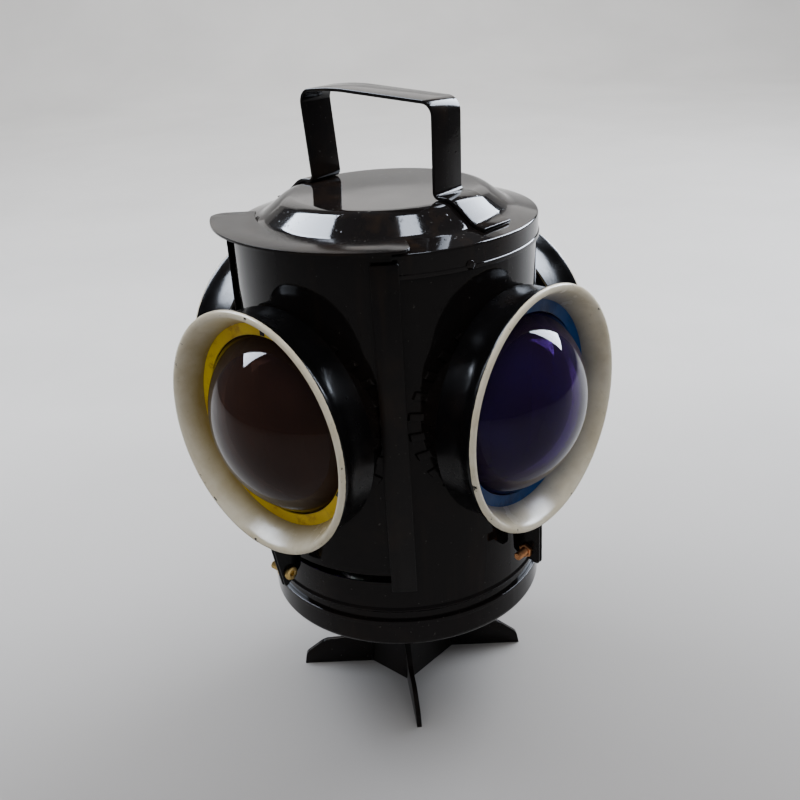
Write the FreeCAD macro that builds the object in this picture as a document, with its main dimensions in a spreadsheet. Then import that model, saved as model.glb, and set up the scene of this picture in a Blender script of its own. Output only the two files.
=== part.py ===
import FreeCAD, Part
import math
import os
import re

import Sketcher

# Switch signal lamp: an oil lamp in an enamelled sheet case with four hooded lenses, a lift-off door
# that carries one of them, a strap handle, and a finned foot with a rectangular socket for the spindle
# of a switch stand. Millimetres and degrees. The origin is on the lamp's axis at the foot's underside,
# +Z is up, and the door's lens looks along -Y.

SIZES = {
    # case
    "body_radius": 85.0,
    "body_sheet": 1.0,
    "slip_gap": 0.2,
    "seat_gap": 0.1,
    "bead_height": 98.0,
    "bead_swell": 1.3,
    "bead_width": 3.4,
    # pan that closes the case at the bottom
    "pan_underside": 73.0,
    "pan_sheet": 1.0,
    "pan_wall_top": 91.0,
    "pan_hem": 0.8,
    "pan_hem_height": 2.6,
    "pan_corner": 3.5,
    # lid
    "lid_sheet": 1.2,
    "lid_brim_height": 310.8,
    "lid_foot_rise": 3.8,
    "lid_dome_rise": 11.4,
    "lid_flat_radius": 56.5,
    "lid_foot_radius": 71.5,
    "lid_shoulder_bend": 14.0,
    "skirt_depth": 12.8,
    "skirt_hem": 0.5,
    "skirt_hem_height": 2.4,
    "screw_radius": 1.2,
    "screw_head_radius": 2.6,
    "screw_head_height": 1.3,
    "screw_rise": 2.6,
    "screw_first_angle": -18.7,
    # handle
    "handle_width": 22.8,
    "handle_sheet": 2.0,
    "handle_rise": 55.6,
    "handle_arch": 5.1,
    "handle_half_span_top": 47.9,
    "handle_half_span_bottom": 46.8,
    "handle_bend": 5.0,
    "handle_foot_length": 7.0,
    # doorway, guides and lift-off door
    "doorway_half_angle": 37.0,
    "doorway_bottom": 117.0,
    "door_gap": 0.3,
    "door_sheet": 1.0,
    "door_bottom": 124.0,
    "door_half_angle": 44.0,
    "guide_angle": 45.0,
    "guide_lap": 8.2,
    "guide_play": 1.8,
    "guide_sheet": 1.2,
    "guide_bottom": 115.0,
    "guide_top_drop": 3.3,
    "plate_half_angle": 49.5,
    "plate_lid_gap": 2.5,
    "plate_overhang": 10.8,
    "plate_rise": 0.3,
    "plate_sheet": 1.4,
    "plate_corner": 8.0,
    # lens units
    "lens_height": 215.8,
    "hood_stand_off": 24.1,
    "door_hood_shift": 4.4,
    "lens_hole_radius": 52.4,
    "holder_sheet": 1.2,
    "holder_drum_radius": 63.8,
    "hood_depth": 23.5,
    "hood_sheet": 1.3,
    "rim_radius": 70.0,
    "rim_roll": 1.5,
    "ring_setback": 13.4,
    "ring_sheet": 1.0,
    "ring_bore": 52.3,
    "ring_visible_radius": 58.6,
    "lens_edge_radius": 55.6,
    "lens_edge_thickness": 6.4,
    "lens_dome_radius": 52.0,
    "lens_dome_rise": 31.4,
    "door_lens_dome_rise": 28.2,
    "lens_glass": 9.0,
    "gasket_thickness": 1.1,
    "tab_width": 4.0,
    "tab_length": 5.6,
    "tab_count": 30,
    "clip_width": 3.4,
    "clip_sheet": 0.8,
    # clamp ears and their bolt
    "ear_sheet": 1.3,
    "ear_split": 1.0,
    "ear_drop": 100.0,
    "ear_tip_setback": 2.8,
    "ear_inner_setback": 20.5,
    "ear_inner_drop": 96.0,
    "bolt_setback": 11.0,
    "bolt_drop": 92.3,
    "bolt_radius": 2.4,
    "bolt_head_radius": 4.2,
    "bolt_head_height": 2.6,
    "bolt_socket_radius": 1.7,
    "bolt_stick_out": 10.0,
    "nut_flats": 7.6,
    "nut_height": 2.6,
    # finned foot
    "socket_half_x": 16.0,
    "socket_half_y": 22.5,
    "foot_sheet": 1.5,
    "fin_tip_x": 52.0,
    "fin_tip_y": 54.0,
    "fin_height": 19.0,
    "fin_step_radius": 42.0,
    "fin_root_radius": 31.0,
    # oil font
    "font_radius": 46.5,
    "font_height": 80.0,
    "font_sheet": 1.0,
    "font_corner": 5.0,
    "seat_play": 0.4,
    "seat_sheet": 1.0,
    "seat_height": 10.0,
    "neck_radius": 13.0,
    "neck_height": 7.0,
    "neck_sheet": 1.5,
    "filler_offset": -30.0,
    "filler_radius": 8.0,
    "filler_height": 5.0,
    "thread_play": 0.08,
    "cap_sheet": 1.8,
    # burner
    "collar_sheet": 2.4,
    "burner_radius": 19.0,
    "burner_sheet": 1.0,
    "burner_floor": 162.0,
    "burner_depth": 15.0,
    "cone_height": 26.0,
    "cone_top_radius": 10.5,
    "wick_width": 13.4,
    "wick_thickness": 2.4,
    "wick_bottom": 84.0,
    "wick_rise": 7.0,
    "wick_play": 0.35,
    "tube_sheet": 1.0,
    "tube_rise": 37.0,
    "wheel_radius": 4.4,
    "wheel_width": 6.0,
    "wheel_teeth": 12,
    "spindle_radius": 1.2,
    "spindle_rise": 8.0,
    "bearing_play": 0.05,
    "knob_radius": 6.8,
    "knob_thickness": 4.5,
    "knob_reach": 33.0,
}

doc = FreeCAD.newDocument("SwitchSignalLamp")
sheet = doc.addObject("Spreadsheet::Sheet", "Sizes")
for row, (alias, number) in enumerate(SIZES.items(), start=1):
    sheet.set(f"A{row}", alias)
    sheet.set(f"B{row}", str(number))
    sheet.setAlias(f"B{row}", alias)
doc.recompute()

Vector = FreeCAD.Vector
UP = Vector(0, 0, 1)
ACROSS = Vector(0, 1, 0)
OUT = Vector(1, 0, 0)
subparts = []


def size(alias):
    """Number held by one cell of the sheet."""
    return float(getattr(sheet, alias))


def bound(text):
    """Expression in which every alias points at the sheet."""
    return re.sub(r"[a-z]\w+", lambda word: f"Sizes.{word[0]}" if word[0] in SIZES else word[0], str(text))


def value(text):
    """Number that an expression of the sheet gives now."""
    result = sheet.evalExpression(bound(text))
    return float(getattr(result, "Value", result))


def bind(item, **properties):
    """Tie properties of an object to expressions of the sheet."""
    for name, text in properties.items():
        item.setExpression(name, bound(text))
    return item


def keep(item, label, bend=None):
    """Name a finished sub-part, and put it on its hood's axis where it belongs to one."""
    item.Label = label
    if bend is not None:
        item.Placement = FreeCAD.Placement(Vector(0, 0, size("lens_height")), FreeCAD.Rotation(UP, bend))
        item.setExpression("Placement.Base.z", bound("lens_height"))
    subparts.append(item)
    return item


def origin_plane(body, role):
    return next(plane for plane in body.Origin.OriginFeatures if plane.Role == role)


def unit(start, end):
    return (end - start).normalize()


def outline(body, role, corners):
    """Closed sketch through corners (x, y, rounding), each value an expression of the sheet."""
    sketch = body.newObject("Sketcher::SketchObject", body.Name + "_outline")
    sketch.AttachmentSupport = [(origin_plane(body, role), "")]
    sketch.MapMode = "FlatFace"
    spots = [Vector(value(corner[0]), value(corner[1]), 0) for corner in corners]
    radii = [value(corner[2]) if len(corner) > 2 else 0.0 for corner in corners]
    count = len(corners)
    arrive, leave = [], []
    for index, spot in enumerate(spots):
        before = unit(spots[index - 1], spot)
        after = unit(spot, spots[(index + 1) % count])
        reach = radii[index] * math.tan(before.getAngle(after) / 2)
        arrive.append(spot - before * reach)
        leave.append(spot + after * reach)
    for index in range(count):
        sketch.addGeometry(Part.LineSegment(leave[index], arrive[(index + 1) % count]), False)
    for index, corner in enumerate(corners):
        previous = (index - 1) % count
        if radii[index]:
            vertex = sketch.addGeometry(Part.Point(spots[index]), True)
            round_corner(sketch, spots, arrive, leave, radii, index)
            sketch.addConstraint(Sketcher.Constraint("PointOnObject", vertex, 1, previous))
            sketch.addConstraint(Sketcher.Constraint("PointOnObject", vertex, 1, index))
            bind_radius = sketch.addConstraint(Sketcher.Constraint("Radius", vertex + 1, radii[index]))
            sketch.setExpression(f"Constraints[{bind_radius}]", bound(corner[2]))
            place_point(sketch, vertex, spots[index], corner)
        else:
            sketch.addConstraint(Sketcher.Constraint("Coincident", previous, 2, index, 1))
            place_point(sketch, index, spots[index], corner)
    return sketch


def round_corner(sketch, spots, arrive, leave, radii, index):
    """Arc tangent to the two lines that meet at a corner."""
    previous = (index - 1) % len(spots)
    before = unit(spots[previous], spots[index])
    after = unit(spots[index], spots[(index + 1) % len(spots)])
    turns_left = before.cross(after).z > 0
    side = Vector(-before.y, before.x, 0) if turns_left else Vector(before.y, -before.x, 0)
    centre = arrive[index] + side * radii[index]
    middle = centre + (spots[index] - centre).normalize() * radii[index]
    arc = sketch.addGeometry(Part.Arc(arrive[index], middle, leave[index]), False)
    first, last = (1, 2) if turns_left else (2, 1)
    sketch.addConstraint(Sketcher.Constraint("Tangent", previous, 2, arc, first))
    sketch.addConstraint(Sketcher.Constraint("Tangent", arc, last, index, 1))


def place_point(sketch, geometry, spot, corner):
    """Tie a point to its two expressions, or to an axis where the expression is 0."""
    for kind, text, number, axis in (("DistanceX", corner[0], spot.x, -2), ("DistanceY", corner[1], spot.y, -1)):
        if text == "0":
            sketch.addConstraint(Sketcher.Constraint("PointOnObject", geometry, 1, axis))
        else:
            tie = sketch.addConstraint(Sketcher.Constraint(kind, -1, 1, geometry, 1, number))
            sketch.setExpression(f"Constraints[{tie}]", bound(text))


def turned(name, corners, axis="V_Axis"):
    """Body turned about the upright axis, or about the X axis for pieces that face outward."""
    body = doc.addObject("PartDesign::Body", name)
    sketch = outline(body, "XZ_Plane", corners)
    turn = body.newObject("PartDesign::Revolution", name + "_turn")
    turn.Profile = sketch
    turn.ReferenceAxis = (sketch, [axis])
    turn.Angle = 360
    return body


def padded(name, role, corners, length):
    """Body of constant section, with its length centred on the sketch plane."""
    body = doc.addObject("PartDesign::Body", name)
    pad = body.newObject("PartDesign::Pad", name + "_pad")
    pad.Profile = outline(body, role, corners)
    pad.SideType = "Symmetric"
    bind(pad, Length=length)
    body.Tip = pad
    return body


def stand(item, foot, rotation=FreeCAD.Rotation()):
    """Put a primitive on its foot, given as three expressions."""
    item.Placement = FreeCAD.Placement(Vector(*[value(text) for text in foot]), rotation)
    for axis, text in zip("xyz", foot):
        item.setExpression(f"Placement.Base.{axis}", bound(text))
    return item


def rod(name, radius, length):
    """Cylinder that is put in place by aim."""
    return bind(doc.addObject("Part::Cylinder", name), Radius=radius, Height=length)


def cylinder(name, radius, length, foot=("0", "0", "0"), axis=UP, start=0.0, sweep="360"):
    """Cylinder or sector of one, standing on its foot and pointing along axis."""
    turn = FreeCAD.Rotation(UP, start) if axis == UP else FreeCAD.Rotation(UP, axis)
    return stand(bind(rod(name, radius, length), Angle=sweep), foot, turn)


def loose_block(name, lengths):
    """Box that is put in place by its own placement."""
    return bind(doc.addObject("Part::Box", name), Length=lengths[0], Width=lengths[1], Height=lengths[2])


def block(name, lengths, corner):
    """Box from its lowest corner."""
    return stand(loose_block(name, lengths), corner)


def fused(name, *pieces):
    whole = doc.addObject("Part::MultiFuse", name)
    whole.Shapes = list(pieces)
    return whole


def cut(name, base, *tools):
    rest = doc.addObject("Part::Cut", name)
    rest.Base = base
    rest.Tool = tools[0] if len(tools) == 1 else fused(name + "_tools", *tools)
    return rest


def common(name, base, tool):
    part = doc.addObject("Part::Common", name)
    part.Base = base
    part.Tool = tool
    return part


def group(name, pieces):
    """Several separate solids kept as one sub-part."""
    whole = doc.addObject("Part::Compound", name)
    whole.Links = pieces
    return whole


def sector(name, inner, outer, bottom, height, start, sweep):
    """Curved strip of sheet about the lamp's axis."""
    solid = cylinder(name + "_outer", outer, height, ("0", "0", bottom), UP, start, sweep)
    core = cylinder(name + "_inner", inner, height, ("0", "0", bottom), UP, start, sweep)
    return cut(name, solid, core)


def screw_blank(name, head_radius, head_height, shank_radius, shank_length, tail_radius, tail_height):
    """Domed head above the XY plane, shank below it, and a flat tail at the shank's end."""
    tail_top = f"-({shank_length})"
    tail_end = f"-({shank_length}) - ({tail_height})"
    return turned(name, [
        ("0", tail_end), (tail_radius, tail_end), (tail_radius, tail_top), (shank_radius, tail_top),
        (shank_radius, "0"), (head_radius, "0"), (head_radius, f"({head_height}) * 0.4", f"({head_height}) * 0.4"),
        (f"({head_radius}) * 0.55", head_height, f"({head_height}) * 0.8"), ("0", head_height)])


def aim(item, spot, direction):
    """Put an upright piece at a spot, with its axis along a direction."""
    item.Placement = FreeCAD.Placement(spot, FreeCAD.Rotation(UP, direction))
    return item


# Case: shell, pan, lid and the screws that hold the lid.

LID_FOOT = "(lid_brim_height + lid_foot_rise)"
LID_TOP = f"({LID_FOOT} + lid_dome_rise)"
LID_SLOPE = "(lid_dome_rise / (lid_foot_radius - lid_flat_radius))"
LID_STRETCH = f"sqrt(1 + {LID_SLOPE}^2)"
SKIRT_RADIUS = "body_radius + slip_gap + lid_sheet"
SKIRT_BOTTOM = "(lid_brim_height - skirt_depth)"
SCREW_HEIGHT = f"({SKIRT_BOTTOM} + screw_rise)"
BRIM_SLOPE = f"(lid_foot_rise / ({SKIRT_RADIUS} - lid_foot_radius))"
BRIM_STRETCH = f"sqrt(1 + {BRIM_SLOPE}^2)"
PAN_FLOOR = "pan_underside + pan_sheet"
SHELL_FOOT = "pan_underside + pan_corner"
SCREW_ANGLES = [size("screw_first_angle") + 90 * quarter for quarter in (0, 1, 2)]


def radial_tool(name, radius, angle, height):
    """Drill that reaches from the lamp's axis out through the case."""
    drill = rod(name, radius, "body_radius * 1.5")
    direction = Vector(math.cos(math.radians(angle)), math.sin(math.radians(angle)), 0)
    return aim(drill, Vector(0, 0, value(height)), direction)


def lid_screw_holes(name):
    return [radial_tool(f"{name}_{index}", "screw_radius + seat_gap", angle, SCREW_HEIGHT)
            for index, angle in enumerate(SCREW_ANGLES)]


def lid_screw_seats():
    """Spot faces that clear the hem of the skirt around each screw head."""
    seats = []
    for index, angle in enumerate(SCREW_ANGLES):
        direction = Vector(math.cos(math.radians(angle)), math.sin(math.radians(angle)), 0)
        seat = rod(f"lid_screw_seat_{index}", "screw_head_radius + seat_gap", "lid_sheet * 4")
        seats.append(aim(seat, direction * value(SKIRT_RADIUS) + UP * value(SCREW_HEIGHT), direction))
    return seats


def lens_holes(name):
    across = cylinder(name + "_x", "lens_hole_radius", "4 * body_radius",
                      ("-2 * body_radius", "0", "lens_height"), OUT)
    rear = cylinder(name + "_y", "lens_hole_radius", "2 * body_radius", ("0", "0", "lens_height"), ACROSS)
    return [across, rear]


def body_shell():
    inner = "body_radius - body_sheet"
    top = "lid_brim_height - lid_sheet - seat_gap"
    low, high = "bead_height - bead_width / 2", "bead_height + bead_width / 2"
    wall = turned("shell_wall", [
        (inner, SHELL_FOOT), ("body_radius", SHELL_FOOT), ("body_radius", low, "bead_swell / 2"),
        ("body_radius + bead_swell", "bead_height", "bead_swell / 2"), ("body_radius", high, "bead_swell / 2"),
        ("body_radius", top), (inner, top), (inner, high, "bead_swell / 2"),
        (f"{inner} + bead_swell", "bead_height", "bead_swell / 2"), (inner, low, "bead_swell / 2")])
    doorway = cylinder("doorway", "body_radius * 1.2", f"{LID_TOP} - doorway_bottom",
                       ("0", "0", "doorway_bottom"), UP, -90 - size("doorway_half_angle"), "2 * doorway_half_angle")
    keep(cut("shell", wall, doorway, *lens_holes("shell_lens_hole"), *lid_screw_holes("shell_screw_hole")),
         "body_shell")


def base_pan():
    inner = "body_radius + slip_gap"
    outer = f"{inner} + pan_sheet"
    hem_foot = "pan_wall_top - pan_hem_height"
    keep(turned("pan", [
        ("0", "pan_underside"), (outer, "pan_underside", "pan_corner"), (outer, hem_foot),
        (f"{outer} + pan_hem", hem_foot, "pan_hem / 2"), (f"{outer} + pan_hem", "pan_wall_top", "pan_hem / 2"),
        (inner, "pan_wall_top"), (inner, PAN_FLOOR, "pan_corner - pan_sheet"), ("0", PAN_FLOOR)]), "base_pan")


def lid():
    inner = "body_radius + slip_gap"
    hem_top = f"{SKIRT_BOTTOM} + skirt_hem_height"
    under_flat = f"lid_flat_radius - lid_sheet * ({LID_STRETCH} - 1) / {LID_SLOPE}"
    under_foot = f"lid_foot_radius - lid_sheet * ({LID_STRETCH} - 1) / {LID_SLOPE}"
    dome = turned("lid_dome", [
        ("0", LID_TOP), ("lid_flat_radius", LID_TOP, "lid_shoulder_bend"),
        ("lid_foot_radius", LID_FOOT, "lid_shoulder_bend"),
        (SKIRT_RADIUS, "lid_brim_height", "lid_sheet"), (SKIRT_RADIUS, hem_top),
        (f"{SKIRT_RADIUS} + skirt_hem", hem_top), (f"{SKIRT_RADIUS} + skirt_hem", SKIRT_BOTTOM),
        (inner, SKIRT_BOTTOM),
        (inner, "lid_brim_height - lid_sheet"),
        (under_foot, f"{LID_FOOT} - lid_sheet", "lid_shoulder_bend + lid_sheet"),
        (under_flat, f"{LID_TOP} - lid_sheet", "lid_shoulder_bend - lid_sheet"), ("0", f"{LID_TOP} - lid_sheet")])
    keep(cut("lid_shell", dome, *lid_screw_holes("lid_screw_hole"), *lid_screw_seats()), "lid")


def lid_screws():
    screws = []
    for index, angle in enumerate(SCREW_ANGLES):
        direction = Vector(math.cos(math.radians(angle)), math.sin(math.radians(angle)), 0)
        screw = screw_blank(f"lid_screw_{index}", "screw_head_radius", "screw_head_height", "screw_radius",
                            "lid_sheet + slip_gap + body_sheet + 2 * seat_gap", "screw_radius * 1.5", "body_sheet")
        reach = value(SKIRT_RADIUS) + size("seat_gap")
        screws.append(aim(screw, direction * reach + UP * value(SCREW_HEIGHT), direction))
    keep(group("lid_screw_group", screws), "lid_screws")


# Handle: one bent strap, spot-welded by its feet to the lid's sloping shoulder.

def handle():
    crown, foot_reach = f"({LID_TOP} + handle_rise)", "(lid_foot_radius + handle_foot_length)"
    inside, outside = f"{LID_TOP} + seat_gap", f"{LID_TOP} + seat_gap + handle_sheet"
    knee = f"lid_flat_radius + handle_sheet * ({LID_STRETCH} - 1) / {LID_SLOPE}"
    rise, brim_rise = f"handle_sheet * {LID_STRETCH}", f"handle_sheet * {BRIM_STRETCH}"
    ankle_shift = f"({rise} - {brim_rise}) / ({LID_SLOPE} - {BRIM_SLOPE})"
    end_under = f"{LID_FOOT} + seat_gap - {BRIM_SLOPE} * handle_foot_length"
    under = [
        (foot_reach, end_under), ("lid_foot_radius", f"{LID_FOOT} + seat_gap", "lid_shoulder_bend"),
        ("lid_flat_radius", inside, "lid_shoulder_bend"),
        ("handle_half_span_bottom - handle_sheet", inside, "handle_bend"),
        ("handle_half_span_top - handle_sheet", f"{crown} - handle_arch - handle_sheet",
         "handle_bend - handle_sheet")]
    over = [
        ("handle_half_span_top", f"{crown} - handle_arch", "handle_bend"),
        ("handle_half_span_bottom", outside, "handle_bend - handle_sheet"),
        (knee, outside, "lid_shoulder_bend + handle_sheet"),
        (f"lid_foot_radius + {ankle_shift}",
         f"{LID_FOOT} + seat_gap + {rise} - {LID_SLOPE} * {ankle_shift}",
         "lid_shoulder_bend - handle_sheet"),
        (foot_reach, f"{end_under} + {brim_rise}")]

    def mirrored(corners):
        return [(f"-({corner[0]})",) + corner[1:] for corner in reversed(corners)]

    crown_under = [("0", f"{crown} - handle_sheet", "handle_half_span_top * 4")]
    crown_over = [("0", crown, "handle_half_span_top * 4")]
    keep(padded("handle_strap", "XZ_Plane",
                under + crown_under + mirrored(under) + mirrored(over) + crown_over + over, "handle_width"), "handle")


# Door guides: a folded channel up each side of the doorway.

DOOR_INNER = f"{SKIRT_RADIUS} + skirt_hem + door_gap"
DOOR_OUTER = f"{DOOR_INNER} + door_sheet"
PLATE_UNDERSIDE = f"({LID_FOOT} + plate_rise)"


def door_guide(label, mirror):
    front_inner = f"{DOOR_OUTER} + guide_play"
    front_outer = f"{front_inner} + guide_sheet"
    height = "lid_brim_height - guide_top_drop - guide_bottom"
    web_angle = math.degrees(size("guide_sheet") / size("body_radius"))
    edge = -90 + mirror * size("guide_angle")
    lap_start = edge - size("guide_lap") if mirror > 0 else edge
    web_start = edge if mirror > 0 else edge - web_angle
    back_start = lap_start + (0.4 * size("guide_lap") if mirror > 0 else 0)
    back_inner = "body_radius + seat_gap"
    front = sector(label + "_front", front_inner, front_outer, "guide_bottom", height,
                   lap_start, "guide_lap")
    web = sector(label + "_web", back_inner, front_outer, "guide_bottom", height,
                 web_start, str(web_angle))
    back = sector(label + "_back", back_inner, f"{back_inner} + guide_sheet", "guide_bottom", height,
                  back_start, "guide_lap * 0.6")
    relief = cylinder(label + "_relief", DOOR_INNER, f"{LID_TOP} - {SKIRT_BOTTOM}",
                      ("0", "0", f"{SKIRT_BOTTOM} - door_gap"))
    keep(cut(label + "_channel", fused(label + "_folds", front, web, back), relief), label)


# Door: curved panel with a flat plate at its top that rests over the lid's brim.

def door_panel():
    panel = sector("door_blank", DOOR_INNER, DOOR_OUTER, "door_bottom", f"{PLATE_UNDERSIDE} - door_bottom",
                   -90 - size("door_half_angle"), "2 * door_half_angle")
    hole = cylinder("door_lens_hole", "lens_hole_radius", "2 * body_radius",
                    ("0", "0", "lens_height"), Vector(0, -1, 0))
    keep(cut("door_sheet_cut", panel, hole), "door_panel")


def door_top_plate():
    inner, outer = "lid_foot_radius + plate_lid_gap", f"{DOOR_OUTER} + plate_overhang"
    blank = sector("plate_blank", inner, outer, PLATE_UNDERSIDE, "plate_sheet",
                   -90 - size("plate_half_angle"), "2 * plate_half_angle")
    doc.recompute()
    plate = doc.addObject("Part::Fillet", "plate_rounded")
    plate.Base = blank
    limit = (value(inner) + value(outer)) / 2
    plate.Edges = [(number, size("plate_corner"), size("plate_corner"))
                   for number, edge in enumerate(blank.Shape.Edges, start=1)
                   if edge.BoundBox.DiagonalLength < 1.01 * size("plate_sheet")
                   and math.hypot(edge.CenterOfMass.x, edge.CenterOfMass.y) > limit]
    keep(plate, "door_top_plate")


# Lens units: each is made facing +X about its own axis, then turned to its side of the lamp.

HOOD_REACH = "(body_radius + hood_stand_off)"


def tab_ring(name, seat_radius):
    """Ring of solder tabs, bent out flat on the case around a lens hole."""
    width, sheet_width = size("tab_width"), size("holder_sheet")
    inner = size("lens_hole_radius")
    reach = inner + size("holder_sheet") + size("tab_length")
    strips = []
    for step in range(int(size("tab_count"))):
        strip = Part.makeBox(2 * size("body_radius"), width, reach - inner - 0.5 * sheet_width,
                             Vector(0, -width / 2, inner + 0.5 * sheet_width))
        strip.rotate(Vector(0, 0, 0), OUT, 360 * step / size("tab_count"))
        strips.append(strip)
    height = 2 * reach + 2
    foot = Vector(0, 0, -height / 2)
    skin = Part.makeCylinder(seat_radius + sheet_width, height, foot).cut(
        Part.makeCylinder(seat_radius, height, foot))
    ring = doc.addObject("Part::Feature", name)
    ring.Shape = skin.common(Part.makeCompound(strips))
    return ring


def lens_holder(side, bend, seat, reach):
    drum_inner = "holder_drum_radius - holder_sheet"
    back = f"{reach} - hood_depth + seat_gap"
    front = f"{reach} - ring_setback - ring_sheet - 2 * seat_gap"
    tube_outer = "lens_hole_radius + holder_sheet"
    stepped = turned(f"holder_{side}_blank", [
        ("body_radius / 2", "lens_hole_radius"), ("body_radius / 2", tube_outer), (back, tube_outer),
        (back, "holder_drum_radius", "holder_sheet"), (front, "holder_drum_radius"), (front, drum_inner),
        (f"{back} + holder_sheet", drum_inner), (f"{back} + holder_sheet", "lens_hole_radius")], "H_Axis")
    saddle = cylinder(f"holder_{side}_saddle", f"{seat} + seat_gap", "4 * lens_hole_radius",
                      ("0", "0", "-2 * lens_hole_radius"))
    tabs = tab_ring(f"holder_{side}_tabs", value(f"{seat} + seat_gap"))
    tube = cut(f"holder_{side}_tube", stepped, saddle)
    keep(fused(f"holder_{side}", tube, tabs), f"lens_holder_{side}", bend)


def lens_gasket(side, bend, reach):
    back = f"{reach} - hood_depth + 2 * seat_gap + holder_sheet"
    front = f"{back} + gasket_thickness"
    outer = "holder_drum_radius - holder_sheet - slip_gap"
    keep(turned(f"gasket_{side}", [
        (back, "lens_hole_radius"), (back, outer), (front, outer), (front, "lens_hole_radius")], "H_Axis"),
        f"lens_gasket_{side}", bend)


def lens(side, bend, reach, dome_rise):
    """Bull's-eye glass: a flanged dome, hollowed at the back."""
    front = f"{reach} - ring_setback - ring_sheet - seat_gap"
    edge, rise, glass = size("lens_dome_radius"), size(dome_rise), size("lens_glass")
    ball = (edge ** 2 + rise ** 2) / (2 * rise)
    centre = value(front) + rise - ball
    flange = Part.makeCylinder(size("lens_edge_radius"), size("lens_edge_thickness"),
                               Vector(value(front) - size("lens_edge_thickness"), 0, 0), OUT)
    half_space = Part.makeCylinder(2 * ball, 2 * ball, Vector(value(front) - glass, 0, 0), OUT)
    dome = Part.makeSphere(ball, Vector(centre, 0, 0)).common(half_space)
    rod = Part.makeCylinder(edge, 2 * ball, Vector(value(front) - glass, 0, 0), OUT)
    hollow = Part.makeSphere(ball - glass, Vector(centre, 0, 0))
    glass_piece = doc.addObject("Part::Feature", f"lens_{side}_glass")
    glass_piece.Shape = flange.fuse(dome.common(rod)).cut(hollow).removeSplitter()
    keep(glass_piece, f"lens_{side}", bend)


def target_ring(side, bend, reach):
    front = f"{reach} - ring_setback"
    back = f"{front} - ring_sheet"
    outer = "holder_drum_radius - seat_gap"
    keep(turned(f"ring_{side}", [
        (back, "ring_bore"), (back, outer), (front, outer), (front, "ring_bore")], "H_Axis"),
        f"target_ring_{side}", bend)


def ring_clips(side, bend, reach):
    """Three small clips that hold the target ring, at the top and a third of a turn each way."""
    start = size("ring_bore") + 2 * size("seat_gap")
    length = size("ring_visible_radius") - 2 * size("seat_gap") - start
    front = value(f"{reach} - ring_setback + seat_gap")
    clips = []
    for index, angle in enumerate((0, 120, 240)):
        clip = loose_block(f"clip_{side}_{index}", ("clip_sheet", "clip_width", str(length)))
        local = FreeCAD.Placement(Vector(front, -size("clip_width") / 2, start), FreeCAD.Rotation())
        clip.Placement = FreeCAD.Placement(Vector(0, 0, 0), FreeCAD.Rotation(OUT, angle)).multiply(local)
        clips.append(clip)
    keep(group(f"clips_{side}", clips), f"ring_clips_{side}", bend)


def hood(side, bend, reach):
    """Bell-mouthed hood with a split sleeve and the two ears that clamp it."""
    back = f"{reach} - hood_depth"
    sleeve_inner = "holder_drum_radius + seat_gap"
    sleeve_outer = f"{sleeve_inner} + hood_sheet"
    shoulder = f"{reach} - ring_setback + seat_gap"
    bell = turned(f"hood_{side}_bell", [
        (shoulder, "ring_visible_radius"),
        (f"{reach} - ring_setback * 0.5", "ring_visible_radius + 3.6", "ring_setback"),
        (reach, "rim_radius - 4.6", "rim_roll"), (reach, "rim_radius", "rim_roll"),
        (f"{reach} - rim_roll * 2", "rim_radius", "rim_roll"),
        (f"{reach} - ring_setback - 2", sleeve_outer, "ring_setback"),
        (back, sleeve_outer), (back, sleeve_inner), (shoulder, sleeve_inner)], "H_Axis")
    slit = block(f"hood_{side}_slit", ("hood_depth - ring_setback - seat_gap", "ear_split", "rim_radius"),
                 (back, "-ear_split / 2", "-rim_radius"))
    ears = padded(f"hood_{side}_ears", "XZ_Plane", [
        (f"{reach} - ear_tip_setback", f"-({sleeve_outer} + 1)"),
        (f"{back} + 1", f"-({sleeve_outer} - hood_sheet / 2)"),
        (f"{reach} - ear_inner_setback", "-ear_inner_drop", "2"),
        (f"{reach} - ear_tip_setback", "-ear_drop", "3")], "2 * ear_sheet + ear_split")
    between = block(f"hood_{side}_between", ("2 * hood_depth", "ear_split", "ear_drop"),
                    (f"{reach} - 2 * hood_depth", "-ear_split / 2", f"-ear_drop - ({sleeve_outer})"))
    hole = cylinder(f"hood_{side}_bolt_hole", "bolt_radius + seat_gap", "6 * ear_sheet",
                    (f"{reach} - bolt_setback", "-3 * ear_sheet", "-bolt_drop"), ACROSS)
    whole = fused(f"hood_{side}_whole", cut(f"hood_{side}_split", bell, slit),
                  cut(f"hood_{side}_pair", ears, between, hole))
    keep(whole, f"hood_{side}", bend)


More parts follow.
